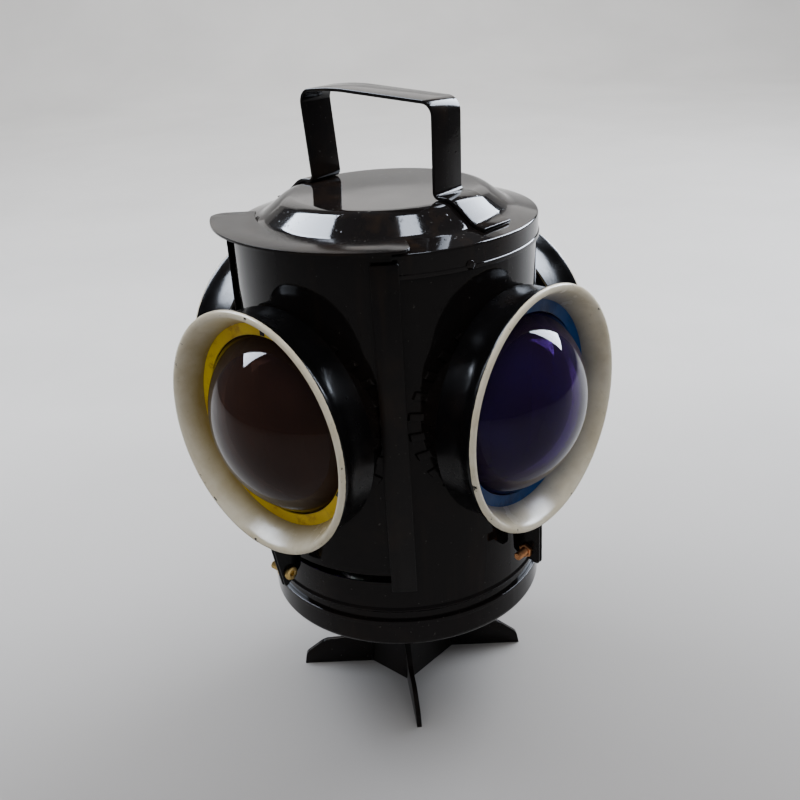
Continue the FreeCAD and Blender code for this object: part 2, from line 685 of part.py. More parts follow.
def clamp_bolt(side, bend, reach):
    """Bolt and nut through a pair of ears."""
    face = "ear_sheet + ear_split / 2 + seat_gap"
    tail = f"-({face} + bolt_stick_out)"
    shank = turned(f"bolt_{side}_shank", [
        ("0", tail), ("bolt_radius", tail, "bolt_radius / 4"), ("bolt_radius", face),
        ("bolt_head_radius", face), ("bolt_head_radius", f"{face} + bolt_head_height", "bolt_head_height / 3"),
        ("bolt_socket_radius", f"{face} + bolt_head_height"),
        ("bolt_socket_radius", f"{face} + bolt_head_height / 3"), ("0", f"{face} + bolt_head_height / 3")])
    nut = doc.addObject("Part::Prism", f"bolt_{side}_nut_blank")
    nut.Polygon = 6
    bind(nut, Circumradius="nut_flats / sqrt(3)", Height="nut_height")
    nut.Placement.Base = Vector(0, 0, value(f"-({face} + nut_height)"))
    bore = cylinder(f"bolt_{side}_nut_bore", "bolt_radius + bearing_play", "4 * nut_height",
                    ("0", "0", f"-({face} + 3 * nut_height)"))
    pair = group(f"bolt_{side}_pair", [shank, cut(f"bolt_{side}_nut", nut, bore)])
    local = FreeCAD.Placement(Vector(value(f"{reach} - bolt_setback"), 0, -size("bolt_drop")),
                              FreeCAD.Rotation(UP, ACROSS))
    pair.Label = f"clamp_bolt_{side}"
    pair.Placement = FreeCAD.Placement(Vector(0, 0, size("lens_height")), FreeCAD.Rotation(UP, bend)).multiply(local)
    subparts.append(pair)


def lens_unit(side, bend, seat, reach, dome_rise="lens_dome_rise"):
    lens_holder(side, bend, seat, reach)
    lens_gasket(side, bend, reach)
    lens(side, bend, reach, dome_rise)
    target_ring(side, bend, reach)
    ring_clips(side, bend, reach)
    hood(side, bend, reach)
    clamp_bolt(side, bend, reach)


# Foot: four bent strips, back to back along the fins, around a rectangular socket.

FIN_ANGLE = "atan((fin_tip_y - socket_half_y) / (fin_tip_x - socket_half_x))"


def fin_tip(quantity):
    """Tip of the strip's outer face, one sheet off the fin's middle plane."""
    shift = f"foot_sheet * sin({FIN_ANGLE})" if quantity == "x" else f"foot_sheet * cos({FIN_ANGLE})"
    return shift


def foot_strip(label, along_x, sign, tool):
    """Strip that lines one side of the socket and one face of each fin beside it."""
    if along_x:
        corner_in = f"socket_half_x - foot_sheet * tan({FIN_ANGLE} / 2)"
        half = [
            ("fin_tip_x", "fin_tip_y"), ("socket_half_x", "socket_half_y"),
            ("-socket_half_x", "socket_half_y"), ("-fin_tip_x", "fin_tip_y"),
            (f"-(fin_tip_x - {fin_tip('x')})", f"fin_tip_y + {fin_tip('y')}"),
            (f"-({corner_in})", "socket_half_y + foot_sheet"), (corner_in, "socket_half_y + foot_sheet"),
            (f"fin_tip_x - {fin_tip('x')}", f"fin_tip_y + {fin_tip('y')}")]
        corners = [(x, f"{sign} * ({y})") for x, y in half]
    else:
        corner_in = f"socket_half_y - foot_sheet * tan((90 deg - {FIN_ANGLE}) / 2)"
        half = [
            ("fin_tip_x", "fin_tip_y"), ("socket_half_x", "socket_half_y"),
            ("socket_half_x", "-socket_half_y"), ("fin_tip_x", "-fin_tip_y"),
            (f"fin_tip_x + {fin_tip('x')}", f"-(fin_tip_y - {fin_tip('y')})"),
            ("socket_half_x + foot_sheet", f"-({corner_in})"), ("socket_half_x + foot_sheet", corner_in),
            (f"fin_tip_x + {fin_tip('x')}", f"fin_tip_y - {fin_tip('y')}")]
        corners = [(f"{sign} * ({x})", y) for x, y in half]
    strip = padded(label + "_strip", "XY_Plane", corners, "2 * pan_underside")
    keep(common(label + "_trimmed", strip, tool), label)


def foot():
    tip = "sqrt(fin_tip_x^2 + fin_tip_y^2)"
    envelope = turned("foot_envelope", [
        ("0", "0"), (tip, "0"), (f"{tip} - 1.5", "fin_height * 0.45", "fin_height * 0.3"),
        (f"{tip} - 15", "fin_height", "fin_height * 0.6"), ("fin_step_radius", "fin_height + 1", "fin_height * 0.3"),
        ("fin_root_radius", "pan_underside * 0.6", "fin_height"), ("fin_root_radius", "pan_underside"),
        ("0", "pan_underside")])
    foot_strip("foot_strip_front", True, -1, envelope)
    foot_strip("foot_strip_rear", True, 1, envelope)
    foot_strip("foot_strip_right", False, 1, envelope)
    foot_strip("foot_strip_left", False, -1, envelope)


# Oil font, its seat, and the burner that screws into it.

FONT_TOP = f"{PAN_FLOOR} + font_height"
CAP_UNDERSIDE = f"{FONT_TOP} + door_gap"


def font_seat():
    inner = "font_radius + seat_play"
    keep(turned("seat_ring", [
        (inner, PAN_FLOOR), (f"{inner} + seat_sheet", PAN_FLOOR),
        (f"{inner} + seat_sheet", f"{PAN_FLOOR} + seat_height"), (inner, f"{PAN_FLOOR} + seat_height")]),
        "font_seat")


def oil_font():
    inner = "font_radius - font_sheet"
    bore = "neck_radius - neck_sheet"
    tank = turned("font_tank", [
        ("0", PAN_FLOOR), ("font_radius", PAN_FLOOR, "font_corner"), ("font_radius", FONT_TOP, "font_corner"),
        ("neck_radius", FONT_TOP), ("neck_radius", f"{FONT_TOP} + neck_height"),
        (bore, f"{FONT_TOP} + neck_height"), (bore, f"{FONT_TOP} - font_sheet"),
        (inner, f"{FONT_TOP} - font_sheet", "font_corner - font_sheet"),
        (inner, f"{PAN_FLOOR} + font_sheet", "font_corner - font_sheet"), ("0", f"{PAN_FLOOR} + font_sheet")])
    spout = cylinder("font_spout", "filler_radius", "filler_height + font_sheet / 2",
                     ("filler_offset", "0", f"{FONT_TOP} - font_sheet / 2"))
    drill = cylinder("font_spout_bore", "filler_radius - neck_sheet", "filler_height + 4 * font_sheet",
                     ("filler_offset", "0", f"{FONT_TOP} - 2 * font_sheet"))
    keep(cut("font_bored", fused("font_with_spout", tank, spout), drill), "oil_font")


def filler_cap():
    inner = "filler_radius + thread_play"
    ceiling = f"{FONT_TOP} + filler_height + thread_play"
    top = f"{ceiling} + cap_sheet"
    cap = turned("cap_turned", [
        (inner, CAP_UNDERSIDE), (f"{inner} + cap_sheet", CAP_UNDERSIDE, "cap_sheet / 4"),
        (f"{inner} + cap_sheet", top, "cap_sheet / 2"), ("0", top), ("0", ceiling), (inner, ceiling)])
    cap.Placement.Base = Vector(size("filler_offset"), 0, 0)
    bind(cap, **{"Placement.Base.x": "filler_offset"})
    keep(cap, "filler_cap")


def burner_collar():
    inner = "neck_radius + thread_play"
    keep(turned("collar_turned", [
        (inner, CAP_UNDERSIDE), (f"{inner} + collar_sheet", CAP_UNDERSIDE, "collar_sheet / 5"),
        (f"{inner} + collar_sheet", "burner_floor", "collar_sheet / 5"), (inner, "burner_floor")]),
        "burner_collar")


TUBE_HALF_X = "wick_width / 2 + wick_play + tube_sheet"
TUBE_HALF_Y = "wick_thickness / 2 + wick_play + tube_sheet"
WHEEL_OFFSET = "wick_thickness / 2 + wick_play + wheel_radius"
SPINDLE_HEIGHT = "(burner_floor + spindle_rise)"
BURNER_WALL_TOP = "(burner_floor + burner_depth)"
CONE_TOP = f"({BURNER_WALL_TOP} + cone_height)"
TUBE_TOP = "(burner_floor + tube_rise)"
WICK_TOP = f"({TUBE_TOP} + wick_rise)"


def burner_body():
    inner = "burner_radius - burner_sheet"
    cup = turned("burner_cup", [
        ("0", "burner_floor"), ("burner_radius", "burner_floor", "burner_sheet * 1.5"),
        ("burner_radius", BURNER_WALL_TOP), (inner, BURNER_WALL_TOP),
        (inner, "burner_floor + burner_sheet"), ("0", "burner_floor + burner_sheet")])
    slot = block("burner_slot", (f"2 * ({TUBE_HALF_X} + seat_gap)", f"2 * ({TUBE_HALF_Y} + seat_gap)", "8"),
                 (f"-({TUBE_HALF_X} + seat_gap)", f"-({TUBE_HALF_Y} + seat_gap)", "burner_floor - 4"))
    bearing = cylinder("burner_bearing", "spindle_radius + bearing_play", "4 * burner_radius",
                       ("-2 * burner_radius", f"-({WHEEL_OFFSET})", SPINDLE_HEIGHT), OUT)
    keep(cut("burner_pierced", cup, slot, bearing), "burner_body")


def wick_tube():
    foot = "burner_floor - 4"
    outside = block("tube_outside", (f"2 * ({TUBE_HALF_X})", f"2 * ({TUBE_HALF_Y})", f"{TUBE_TOP} - ({foot})"),
                    (f"-({TUBE_HALF_X})", f"-({TUBE_HALF_Y})", foot))
    inside = block("tube_inside", ("wick_width + 2 * wick_play", "wick_thickness + 2 * wick_play", f"2 * {TUBE_TOP}"),
                   ("-wick_width / 2 - wick_play", "-wick_thickness / 2 - wick_play", "0"))
    window = block("tube_window", ("wheel_width + 2 * tube_sheet", f"{TUBE_HALF_Y}", "2.4 * wheel_radius"),
                   ("-wheel_width / 2 - tube_sheet", f"-({TUBE_HALF_Y}) - 0.001 * tube_sheet",
                    f"{SPINDLE_HEIGHT} - 1.2 * wheel_radius"))
    keep(cut("tube_pierced", outside, inside, window), "wick_tube")


def burner_cone():
    inner_low, inner_high = "burner_radius - burner_sheet", "cone_top_radius - burner_sheet"
    foot = f"{BURNER_WALL_TOP} + seat_gap"
    shell = turned("cone_shell", [
        ("burner_radius", foot), ("burner_radius - 1", f"{foot} + 10", "9"), ("cone_top_radius", CONE_TOP, "2"),
        ("0", CONE_TOP), ("0", f"{CONE_TOP} - burner_sheet"), (inner_high, f"{CONE_TOP} - burner_sheet", "1"),
        (f"{inner_low} - 1", f"{foot} + 10", "8"), (inner_low, foot)])
    slot = block("cone_slot", ("wick_width + 4 * tube_sheet", "wick_thickness + 4 * tube_sheet", CONE_TOP),
                 ("-wick_width / 2 - 2 * tube_sheet", "-wick_thickness / 2 - 2 * tube_sheet",
                  f"{CONE_TOP} - 2 * burner_sheet"))
    keep(cut("cone_slotted", shell, slot), "burner_cone")


def wick():
    ribbon = block("wick_ribbon", ("wick_width", "wick_thickness", f"{WICK_TOP} - wick_bottom"),
                   ("-wick_width / 2", "-wick_thickness / 2", "wick_bottom"))
    keep(ribbon, "wick")


def wick_winder():
    """Toothed wheel that climbs the wick, its spindle and the knob outside the burner."""
    play = "spindle_radius + bearing_play"
    height, offset = value(SPINDLE_HEIGHT), -value(WHEEL_OFFSET)
    keep(cylinder("spindle_rod", "spindle_radius", "burner_radius + 1.5 + knob_reach",
                  ("-burner_radius - 1.5", f"-({WHEEL_OFFSET})", SPINDLE_HEIGHT), OUT), "wick_spindle")

    teeth, rim = int(size("wheel_teeth")), []
    for step in range(2 * teeth):
        radius = size("wheel_radius") * (1.0 if step % 2 == 0 else 0.78)
        angle = math.pi * step / teeth
        rim.append(Vector(-size("wheel_width") / 2, radius * math.cos(angle), radius * math.sin(angle)))
    star = Part.Face(Part.makePolygon(rim + [rim[0]])).extrude(Vector(size("wheel_width"), 0, 0))
    wheel = doc.addObject("Part::Feature", "wheel_toothed")
    wheel.Shape = star.cut(Part.makeCylinder(value(play), 2 * size("wheel_width"),
                                             Vector(-size("wheel_width"), 0, 0), OUT))
    wheel.Placement.Base = Vector(0, offset, height)
    keep(wheel, "wick_wheel")

    inner, outer = "knob_reach - knob_thickness", "knob_reach"
    knob = turned("knob_turned", [
        (inner, play), (inner, "knob_radius", "knob_thickness / 4"), (outer, "knob_radius", "knob_thickness / 4"),
        (outer, play)], "H_Axis")
    knob.Placement.Base = Vector(0, offset, height)
    bind(knob, **{"Placement.Base.y": f"-({WHEEL_OFFSET})", "Placement.Base.z": SPINDLE_HEIGHT})
    keep(knob, "wick_knob")


body_shell()
base_pan()
lid()
lid_screws()
handle()
door_guide("guide_right", 1)
door_guide("guide_left", -1)
door_panel()
door_top_plate()
lens_unit("door", -90, DOOR_OUTER, f"({HOOD_REACH} + door_hood_shift)", "door_lens_dome_rise")
lens_unit("right", 0, "body_radius", HOOD_REACH)
lens_unit("rear", 90, "body_radius", HOOD_REACH)
lens_unit("left", 180, "body_radius", HOOD_REACH)
foot()
font_seat()
oil_font()
filler_cap()
burner_collar()
burner_body()
wick_tube()
burner_cone()
wick()
wick_winder()
doc.recompute()

for item in doc.Objects:
    if "Invalid" in item.State or "Error" in item.State:
        raise RuntimeError(f"{item.Name} did not build: {item.State}")
os.makedirs("parts", exist_ok=True)
for item in subparts:
    shape = item.Shape
    if shape.isNull() or not shape.isValid() or not shape.Solids:
        raise RuntimeError(f"{item.Label} has no valid solid")
    shape.exportStep(f"parts/{item.Label}.step")
    box = shape.BoundBox
    print(f"{item.Label}: {len(shape.Solids)} solid(s), {shape.Volume:.0f} mm3, "
          f"x {box.XMin:.1f}..{box.XMax:.1f}, y {box.YMin:.1f}..{box.YMax:.1f}, z {box.ZMin:.1f}..{box.ZMax:.1f}")
print(len(subparts), "sub-parts")
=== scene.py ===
# %% [markdown]
# # A switch signal lamp, dressed around its imported model
#
# The imported model is the fixed frame: every piece of it already has its size and place, in metres. This
# script gives the pieces their finishes, and makes again those whose looks need rounder edges, thinner
# glass or finer detail than the frame has.

import math

import bmesh
import bpy
from mathutils import Matrix, Vector


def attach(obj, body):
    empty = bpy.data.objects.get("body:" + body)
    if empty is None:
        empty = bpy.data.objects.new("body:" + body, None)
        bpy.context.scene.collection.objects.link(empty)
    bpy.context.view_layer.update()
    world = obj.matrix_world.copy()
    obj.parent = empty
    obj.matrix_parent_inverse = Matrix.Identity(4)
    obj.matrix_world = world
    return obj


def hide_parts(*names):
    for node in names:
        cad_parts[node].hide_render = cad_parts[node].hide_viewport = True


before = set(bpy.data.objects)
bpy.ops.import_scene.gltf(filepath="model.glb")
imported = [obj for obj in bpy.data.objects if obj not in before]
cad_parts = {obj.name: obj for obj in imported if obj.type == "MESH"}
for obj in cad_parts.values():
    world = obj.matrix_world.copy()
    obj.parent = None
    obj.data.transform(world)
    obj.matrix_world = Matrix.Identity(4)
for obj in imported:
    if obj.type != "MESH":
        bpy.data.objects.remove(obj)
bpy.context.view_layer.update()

MM = 0.001
LENS_HEIGHT = 215.8 * MM
SIDES = {"door": -90, "right": 0, "rear": 90, "left": 180}
REACH = {"door": 113.5 * MM, "right": 109.1 * MM, "rear": 109.1 * MM, "left": 109.1 * MM}
BODY_OF = {"door": "door", "right": "lamp_body", "rear": "lamp_body", "left": "lamp_body"}
PLAIN_SIDES = ("right", "rear", "left")
AMBER_SIDES = ("door", "rear")


def is_amber(side):
    """The door's and the rear lens are smoky amber in a yellow ring, the other two cobalt in a blue one."""
    return side in AMBER_SIDES


print("sides", ", ".join(SIDES))

# %% [markdown]
# ## Camera
#
# The lamp is seen from a standing person's height, over its front right corner, and the camera leans a
# little. Its place is worked out from the outlines of the lid, the rims and the foot, so the object fills
# the picture as it does in the photograph.

# %% Camera
CAMERA_SPOT = Vector((378.648, -407.782, 446.350)) * MM
CAMERA_HEADING = math.atan2(-CAMERA_SPOT.y, -CAMERA_SPOT.x) + math.radians(-0.177)
CAMERA_PITCH = math.radians(-24.424)
CAMERA_ROLL = math.radians(-3.464)
CAMERA_LENS = 44.334
SENSOR_WIDTH = 36


def camera_turn(heading, pitch, roll):
    """Rotation of a camera that looks along a heading, tilted by pitch and rolled about its own view."""
    upright = Matrix.Rotation(heading - math.pi / 2, 3, "Z") @ Matrix.Rotation(math.pi / 2 + pitch, 3, "X")
    return upright @ Matrix.Rotation(roll, 3, "Z")


camera = bpy.data.objects.new("camera", bpy.data.cameras.new("camera"))
bpy.context.scene.collection.objects.link(camera)
camera.location = CAMERA_SPOT
camera.rotation_euler = camera_turn(CAMERA_HEADING, CAMERA_PITCH, CAMERA_ROLL).to_euler()
camera.data.sensor_width = SENSOR_WIDTH
camera.data.lens = CAMERA_LENS
bpy.context.scene.camera = camera
print("camera at", tuple(round(number, 3) for number in camera.location))

# %% [markdown]
# ## Helpers for modelling
#
# Operators act on whatever is selected, so each piece starts with an empty selection. A turned piece
# starts as a circle whose loop is extruded and resized from station to station, as on a lathe.

# %% Selection and finishing
def clear_selection():
    """Leave edit mode and select nothing."""
    if bpy.context.mode != "OBJECT":
        bpy.ops.object.mode_set(mode="OBJECT")
    bpy.ops.object.select_all(action="DESELECT")


def only(piece):
    """Make one piece the only selected and the active one."""
    clear_selection()
    piece.select_set(True)
    bpy.context.view_layer.objects.active = piece


def pick(kind, wanted):
    """In edit mode, select the verts, edges or faces for which wanted() is true."""
    bpy.ops.mesh.select_mode(type={"verts": "VERT", "edges": "EDGE", "faces": "FACE"}[kind])
    bpy.ops.mesh.select_all(action="DESELECT")
    mesh = bmesh.from_edit_mesh(bpy.context.edit_object.data)
    for element in getattr(mesh, kind):
        if wanted(element):
            element.select_set(True)
    mesh.select_flush_mode()
    bmesh.update_edit_mesh(bpy.context.edit_object.data)


def apply_modifier(piece, kind, **settings):
    """Give a piece a modifier with these settings and write its result into the mesh."""
    only(piece)
    modifier = piece.modifiers.new(kind.lower(), kind)
    for name, setting in settings.items():
        setattr(modifier, name, setting)
    bpy.ops.object.modifier_apply(modifier=modifier.name)


def round_edges(piece, width, segments, sharper_than):
    """Round the edges whose faces meet at more than an angle in degrees."""
    apply_modifier(piece, "BEVEL", width=width, segments=segments, limit_method="ANGLE",
                   angle_limit=math.radians(sharper_than))


def join(pieces):
    """Join pieces to the first of them."""
    only(pieces[0])
    for piece in pieces[1:]:
        piece.select_set(True)
    bpy.ops.object.join()
    return pieces[0]


def face_outward():
    """In edit mode, turn all faces of a piece outward."""
    bpy.ops.mesh.select_all(action="SELECT")
    bpy.ops.mesh.normals_make_consistent(inside=False)


def extrude(move):
    """In edit mode, extrude what is selected along a move."""
    bpy.ops.mesh.extrude_region_move(TRANSFORM_OT_translate={"value": move})


def settle(piece, spot=(0, 0, 0), turn=(0, 0, 0)):
    """Put a piece in place and write that place into its mesh."""
    only(piece)
    piece.location = spot
    piece.rotation_euler = turn
    bpy.ops.object.transform_apply(location=True, rotation=True, scale=True)


def dress(piece, name, body, slot, material, replaces, smooth=35):
    """Name a finished piece, smooth it, give it its material and let it ride on its body."""
    only(piece)
    piece.name = name
    piece.data.name = name
    bpy.ops.object.shade_smooth_by_angle(angle=math.radians(smooth))
    piece.data.materials.clear()
    piece.data.materials.append(material)
    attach(piece, body)
    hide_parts(*replaces)
    print(name, len(piece.data.polygons), "faces")
    return piece


TIP = 0.05 * MM
SEAM_GAP = 0.00001


def turned(stations, segments=128, axis="X"):
    """Piece turned about an axis through stations (along, radius); a radius of 0 closes it at a point."""
    clear_selection()
    along, radius = stations[0][0], stations[0][1] or TIP
    lean = {"X": (0, math.pi / 2, 0), "Z": (0, 0, 0)}[axis]
    way = {"X": Vector((1, 0, 0)), "Z": Vector((0, 0, 1))}[axis]
    bpy.ops.mesh.primitive_circle_add(vertices=segments, radius=radius, location=way * along, rotation=lean)
    piece = bpy.context.object
    bpy.ops.object.transform_apply(location=True, rotation=True, scale=True)
    bpy.ops.object.mode_set(mode="EDIT")
    bpy.ops.mesh.select_mode(type="VERT")
    bpy.ops.mesh.select_all(action="SELECT")
    closed = stations[-1] == stations[0]
    for next_along, next_radius in stations[1:]:
        extrude(way * (next_along - along))
        if next_radius == 0:
            bpy.ops.mesh.merge(type="CENTER")
        else:
            ratio = next_radius / radius
            factors = {"X": (1, ratio, ratio), "Z": (ratio, ratio, 1)}[axis]
            bpy.ops.transform.resize(value=factors, center_override=way * next_along)
        along, radius = next_along, next_radius
    if closed:
        bpy.ops.mesh.select_all(action="SELECT")
        bpy.ops.mesh.remove_doubles(threshold=SEAM_GAP)
    if stations[0][1] == 0:
        foot = way * stations[0][0]
        pick("verts", lambda vertex: (vertex.co - foot).length < 2 * TIP)
        bpy.ops.mesh.merge(type="CENTER")
    face_outward()
    bpy.ops.object.mode_set(mode="OBJECT")
    return piece


def arc(start, end, centre, steps):
    """Stations on the arc from start to end about a centre, without the start."""
    first = math.atan2(start[1] - centre[1], start[0] - centre[0])
    last = math.atan2(end[1] - centre[1], end[0] - centre[0])
    sweep = (last - first + math.pi) % (2 * math.pi) - math.pi
    radius = math.hypot(start[0] - centre[0], start[1] - centre[1])
    return [(centre[0] + radius * math.cos(first + sweep * step / steps),
             centre[1] + radius * math.sin(first + sweep * step / steps)) for step in range(1, steps + 1)]


# %% [markdown]
# ## Helpers for finishes
#
# Every finish is one Principled shader fed by a few noise patterns on Object coordinates, so that a
# pattern stays on its piece in any view and at any pose.

# %% Material helpers
FIRST_COLOUR, SECOND_COLOUR, MIXED_COLOUR = 6, 7, 2


class Finish:
    """A material that is built node by node."""

    def __init__(self, name, **constants):
        self.material = bpy.data.materials.new(name)
        self.material.use_nodes = True
        self.nodes = self.material.node_tree.nodes
        self.links = self.material.node_tree.links
        self.shader = self.nodes["Principled BSDF"]
        self.place = self.nodes.new("ShaderNodeTexCoord").outputs["Object"]
        for socket, constant in constants.items():
            self.shader.inputs[socket.replace("_", " ")].default_value = constant

    def node(self, kind, properties=None, **sockets):
        """New node; a socket is given a number, a colour or another node's output."""
        node = self.nodes.new("ShaderNode" + kind)
        for name, setting in (properties or {}).items():
            setattr(node, name, setting)
        for name, feed in sockets.items():
            self.feed(node.inputs[name.replace("_", " ")], feed)
        return node

    def feed(self, socket, feed):
        """Link another node's output to a socket, or set its constant."""
        if isinstance(feed, bpy.types.NodeSocket):
            self.links.new(feed, socket)
        else:
            socket.default_value = feed

    def noise(self, scale, detail=3, roughness=0.5, place=None):
        """Noise between 0 and 1 on the piece's own coordinates, or on the place given."""
        noise = self.node("TexNoise", None, Scale=scale, Detail=detail, Roughness=roughness)
        self.links.new(place or self.place, noise.inputs["Vector"])
        return noise.outputs["Fac"]

    def stretched(self, factors):
        """The piece's own coordinates, scaled along each axis."""
        mapping = self.node("Mapping", None, Vector=self.place, Scale=factors)
        return mapping.outputs["Vector"]

    def range(self, number, low, high, to_low=0.0, to_high=1.0):
        """A number from low to high made a number from to_low to to_high."""
        sockets = {"From_Min": low, "From_Max": high, "To_Min": to_low, "To_Max": to_high}
        return self.node("MapRange", None, Value=number, **sockets).outputs["Result"]

    def math(self, operation, first, second):
        """Sum, product or the like of two numbers."""
        node = self.node("Math", {"operation": operation})
        self.feed(node.inputs[0], first)
        self.feed(node.inputs[1], second)
        return node.outputs["Value"]

    def mix(self, factor, first, second):
        """Colour between the first and the second, by a factor."""
        node = self.node("Mix", {"data_type": "RGBA"})
        self.feed(node.inputs["Factor"], factor)
        for socket, colour in ((FIRST_COLOUR, first), (SECOND_COLOUR, second)):
            linked = isinstance(colour, bpy.types.NodeSocket)
            self.feed(node.inputs[socket], colour if linked else (*colour, 1))
        return node.outputs[MIXED_COLOUR]

    def bump(self, height, depth, below=None):
        """Surface relief of a given depth in metres, on top of the relief below it."""
        node = self.node("Bump", None, Height=height, Strength=1.0, Distance=depth)
        if below:
            self.links.new(below, node.inputs["Normal"])
        return node.outputs["Normal"]

    def set(self, **sockets):
        """Feed the shader's own sockets."""
        for name, feed in sockets.items():
            self.feed(self.shader.inputs[name.replace("_", " ")], feed)
        return self


print("material helpers ready")

# %% [markdown]
# ## Black enamel
#
# The case, lid, handle and foot are dipped in thick black gloss paint. It mirrors the room, so most of
# its look is in slow waves of the sheet under it, a fine orange peel, and a brown tinge where the coat is
# thin. Its mirror is weak, so that only the windows show in it brightly. The door's plate, the guides and
# the clips are duller.

# %% Black enamel
THICK_COAT = (0.0074, 0.0062, 0.0061)
THIN_COAT = (0.026, 0.016, 0.010)
DUST = (0.09, 0.085, 0.075)
PEEL = 650


def black_enamel(name, wave=26, wave_depth=0.00022, tinge=0.5, mirror=0.3, rough=0.03):
    """Gloss paint on a sheet that waves, with a share of brown tinge and a mirror of a given strength."""
    paint = Finish(name, IOR=1.5, Specular_IOR_Level=mirror)
    thin = paint.range(paint.noise(14, 5, 0.6), 0.52, 0.74)
    streaks = paint.range(paint.noise(60, 3, 0.6, paint.stretched((1, 1, 0.12))), 0.55, 0.8)
    brown = paint.math("MULTIPLY", paint.math("MAXIMUM", thin, streaks), tinge)
    dust = paint.range(paint.noise(420, 2, 0.5), 0.70, 0.78)
    colour = paint.mix(brown, THICK_COAT, THIN_COAT)
    colour = paint.mix(paint.math("MULTIPLY", dust, 0.35), colour, DUST)
    polish = paint.range(paint.noise(38, 4), 0.3, 0.7, rough, rough + 0.07)
    roughness = paint.math("ADD", polish, paint.math("MULTIPLY", dust, 0.3))
    waves = paint.bump(paint.noise(wave, 1, 0.4), wave_depth)
    peel = paint.bump(paint.noise(PEEL, 2, 0.5), 0.000012, waves)
    nibs = paint.node("TexVoronoi", None, Vector=paint.place, Scale=210.0)
    nib = paint.range(nibs.outputs["Distance"], 0.05, 0.16, 1.0, 0.0)
    relief = paint.bump(nib, 0.00004, peel)
    return paint.set(Base_Color=colour, Roughness=roughness, Normal=relief).material


case_black = black_enamel("case_black_enamel", tinge=0.35, mirror=0.13)
lid_black = black_enamel("lid_black_enamel", 20, 0.00018, tinge=0.8, mirror=0.2)
strap_black = black_enamel("strap_black_enamel", 60, 0.00009, tinge=1.0, mirror=0.12, rough=0.06)
plate_black = black_enamel("plate_black_enamel", 60, 0.00009, tinge=1.0, mirror=0.09, rough=0.16)
guide_black = black_enamel("guide_black_enamel", 40, 0.0001, tinge=0.7, mirror=0.17, rough=0.3)
clip_black = black_enamel("clip_black_enamel", 90, 0.00005, tinge=0.3, mirror=0.1, rough=0.45)
print("six black enamels")

# %% [markdown]
# ## Hood enamel
#
# A hood is black outside and cream white inside and over its lip. Each vertex carries a value that says
# how white its place is, and a noise breaks the border, so the white stops in the ragged line that a
# brush leaves and is chipped to the black primer here and there on the lip. Down its wall the cream is
# painted darker and tinted with the ring's colour: painted shade and a painted reflection of the ring.

# %% Hood enamel
CREAM, OLD_CREAM = (0.76, 0.70, 0.55), (0.62, 0.54, 0.37)
GRIME = (0.30, 0.26, 0.20)
HOOD_BLACK, HOOD_THIN = (0.0030, 0.0028, 0.0031), (0.016, 0.010, 0.007)


def hood_enamel(name, painted_ring_reflection_and_shade):
    """Black and cream paint, told apart by the vertex values inside, lip and wall."""
    paint = Finish(name, IOR=1.5, Specular_IOR_Level=0.14)
    inside = paint.node("Attribute", {"attribute_name": "inside"}).outputs["Fac"]
    lip = paint.node("Attribute", {"attribute_name": "lip"}).outputs["Fac"]
    wall = paint.node("Attribute", {"attribute_name": "wall"}).outputs["Fac"]
    ragged = paint.range(paint.noise(260, 4, 0.65), 0.3, 0.7, -0.18, 0.18)
    white = paint.range(paint.math("ADD", inside, ragged), 0.46, 0.52)
    chips = paint.range(paint.noise(150, 5, 0.7), 0.645, 0.67)
    chip = paint.math("MULTIPLY", chips, paint.range(lip, 0.35, 0.8))
    white = paint.math("SUBTRACT", white, chip)
    stain = paint.range(paint.noise(45, 5, 0.6), 0.45, 0.75)
    cream = paint.mix(stain, CREAM, OLD_CREAM)
    grime = paint.range(paint.noise(300, 4, 0.7), 0.6, 0.8)
    cream = paint.mix(paint.math("MULTIPLY", grime, 0.45), cream, GRIME)
    # Painted shade and a painted reflection of the ring's colour, stronger deeper down the wall.
    blotches = paint.range(paint.noise(35, 3), 0.3, 0.7, -0.15, 0.15)
    depth = paint.range(paint.math("ADD", wall, blotches), 0.15, 0.95, 0.0, 0.85)
    cream = paint.mix(depth, cream, painted_ring_reflection_and_shade)
    thin = paint.range(paint.noise(20, 5, 0.6), 0.52, 0.74)
    black = paint.mix(paint.math("MULTIPLY", thin, 0.5), HOOD_BLACK, HOOD_THIN)
    colour = paint.mix(white, black, cream)
    roughness = paint.range(paint.noise(70, 4), 0.3, 0.7, 0.16, 0.3)
    coat = paint.bump(white, 0.00012)
    runs = paint.bump(paint.noise(90, 3, 0.5), 0.00012, coat)
    relief = paint.bump(paint.noise(PEEL, 2), 0.000015, runs)
    return paint.set(Base_Color=colour, Roughness=roughness, Normal=relief).material


# By the yellow ring the wall has painted shade and a painted reflection of the ring; by the blue ring,
# painted shade in grey.
amber_hood_paint = hood_enamel("hood_enamel_by_yellow", (0.25, 0.17, 0.015))
blue_hood_paint = hood_enamel("hood_enamel_by_blue", (0.17, 0.17, 0.18))
print("two hood enamels")

# %% [markdown]
# ## Day-target rings
#
# The flat rings round the lenses are the day signal, yellow on two sides and blue on the other two. The
# enamel drifts slowly in tone and has patches of dark stain and a few dark specks.

# %% Ring enamels
def ring_enamel(name, bright, deep, stain_colour, amount):
    """Semi-gloss colour that drifts between two tones, with an amount of stain and a few dark specks."""
    paint = Finish(name, IOR=1.4, Specular_IOR_Level=0.2)
    drift = paint.range(paint.noise(30, 3), 0.35, 0.65)
    colour = paint.mix(drift, bright, deep)
    stains = paint.range(paint.noise(55, 6, 0.7), 0.53, 0.66)
    colour = paint.mix(paint.math("MULTIPLY", stains, amount), colour, stain_colour)
    specks = paint.range(paint.noise(420, 3, 0.6), 0.68, 0.74)
    colour = paint.mix(paint.math("MULTIPLY", specks, 0.6), colour, (0.05, 0.035, 0.02))
    roughness = paint.range(paint.noise(90, 3), 0.3, 0.7, 0.3, 0.5)
    relief = paint.bump(paint.noise(110, 3), 0.0001)
    relief = paint.bump(stains, 0.00005, relief)
    return paint.set(Base_Color=colour, Roughness=roughness, Normal=relief).material


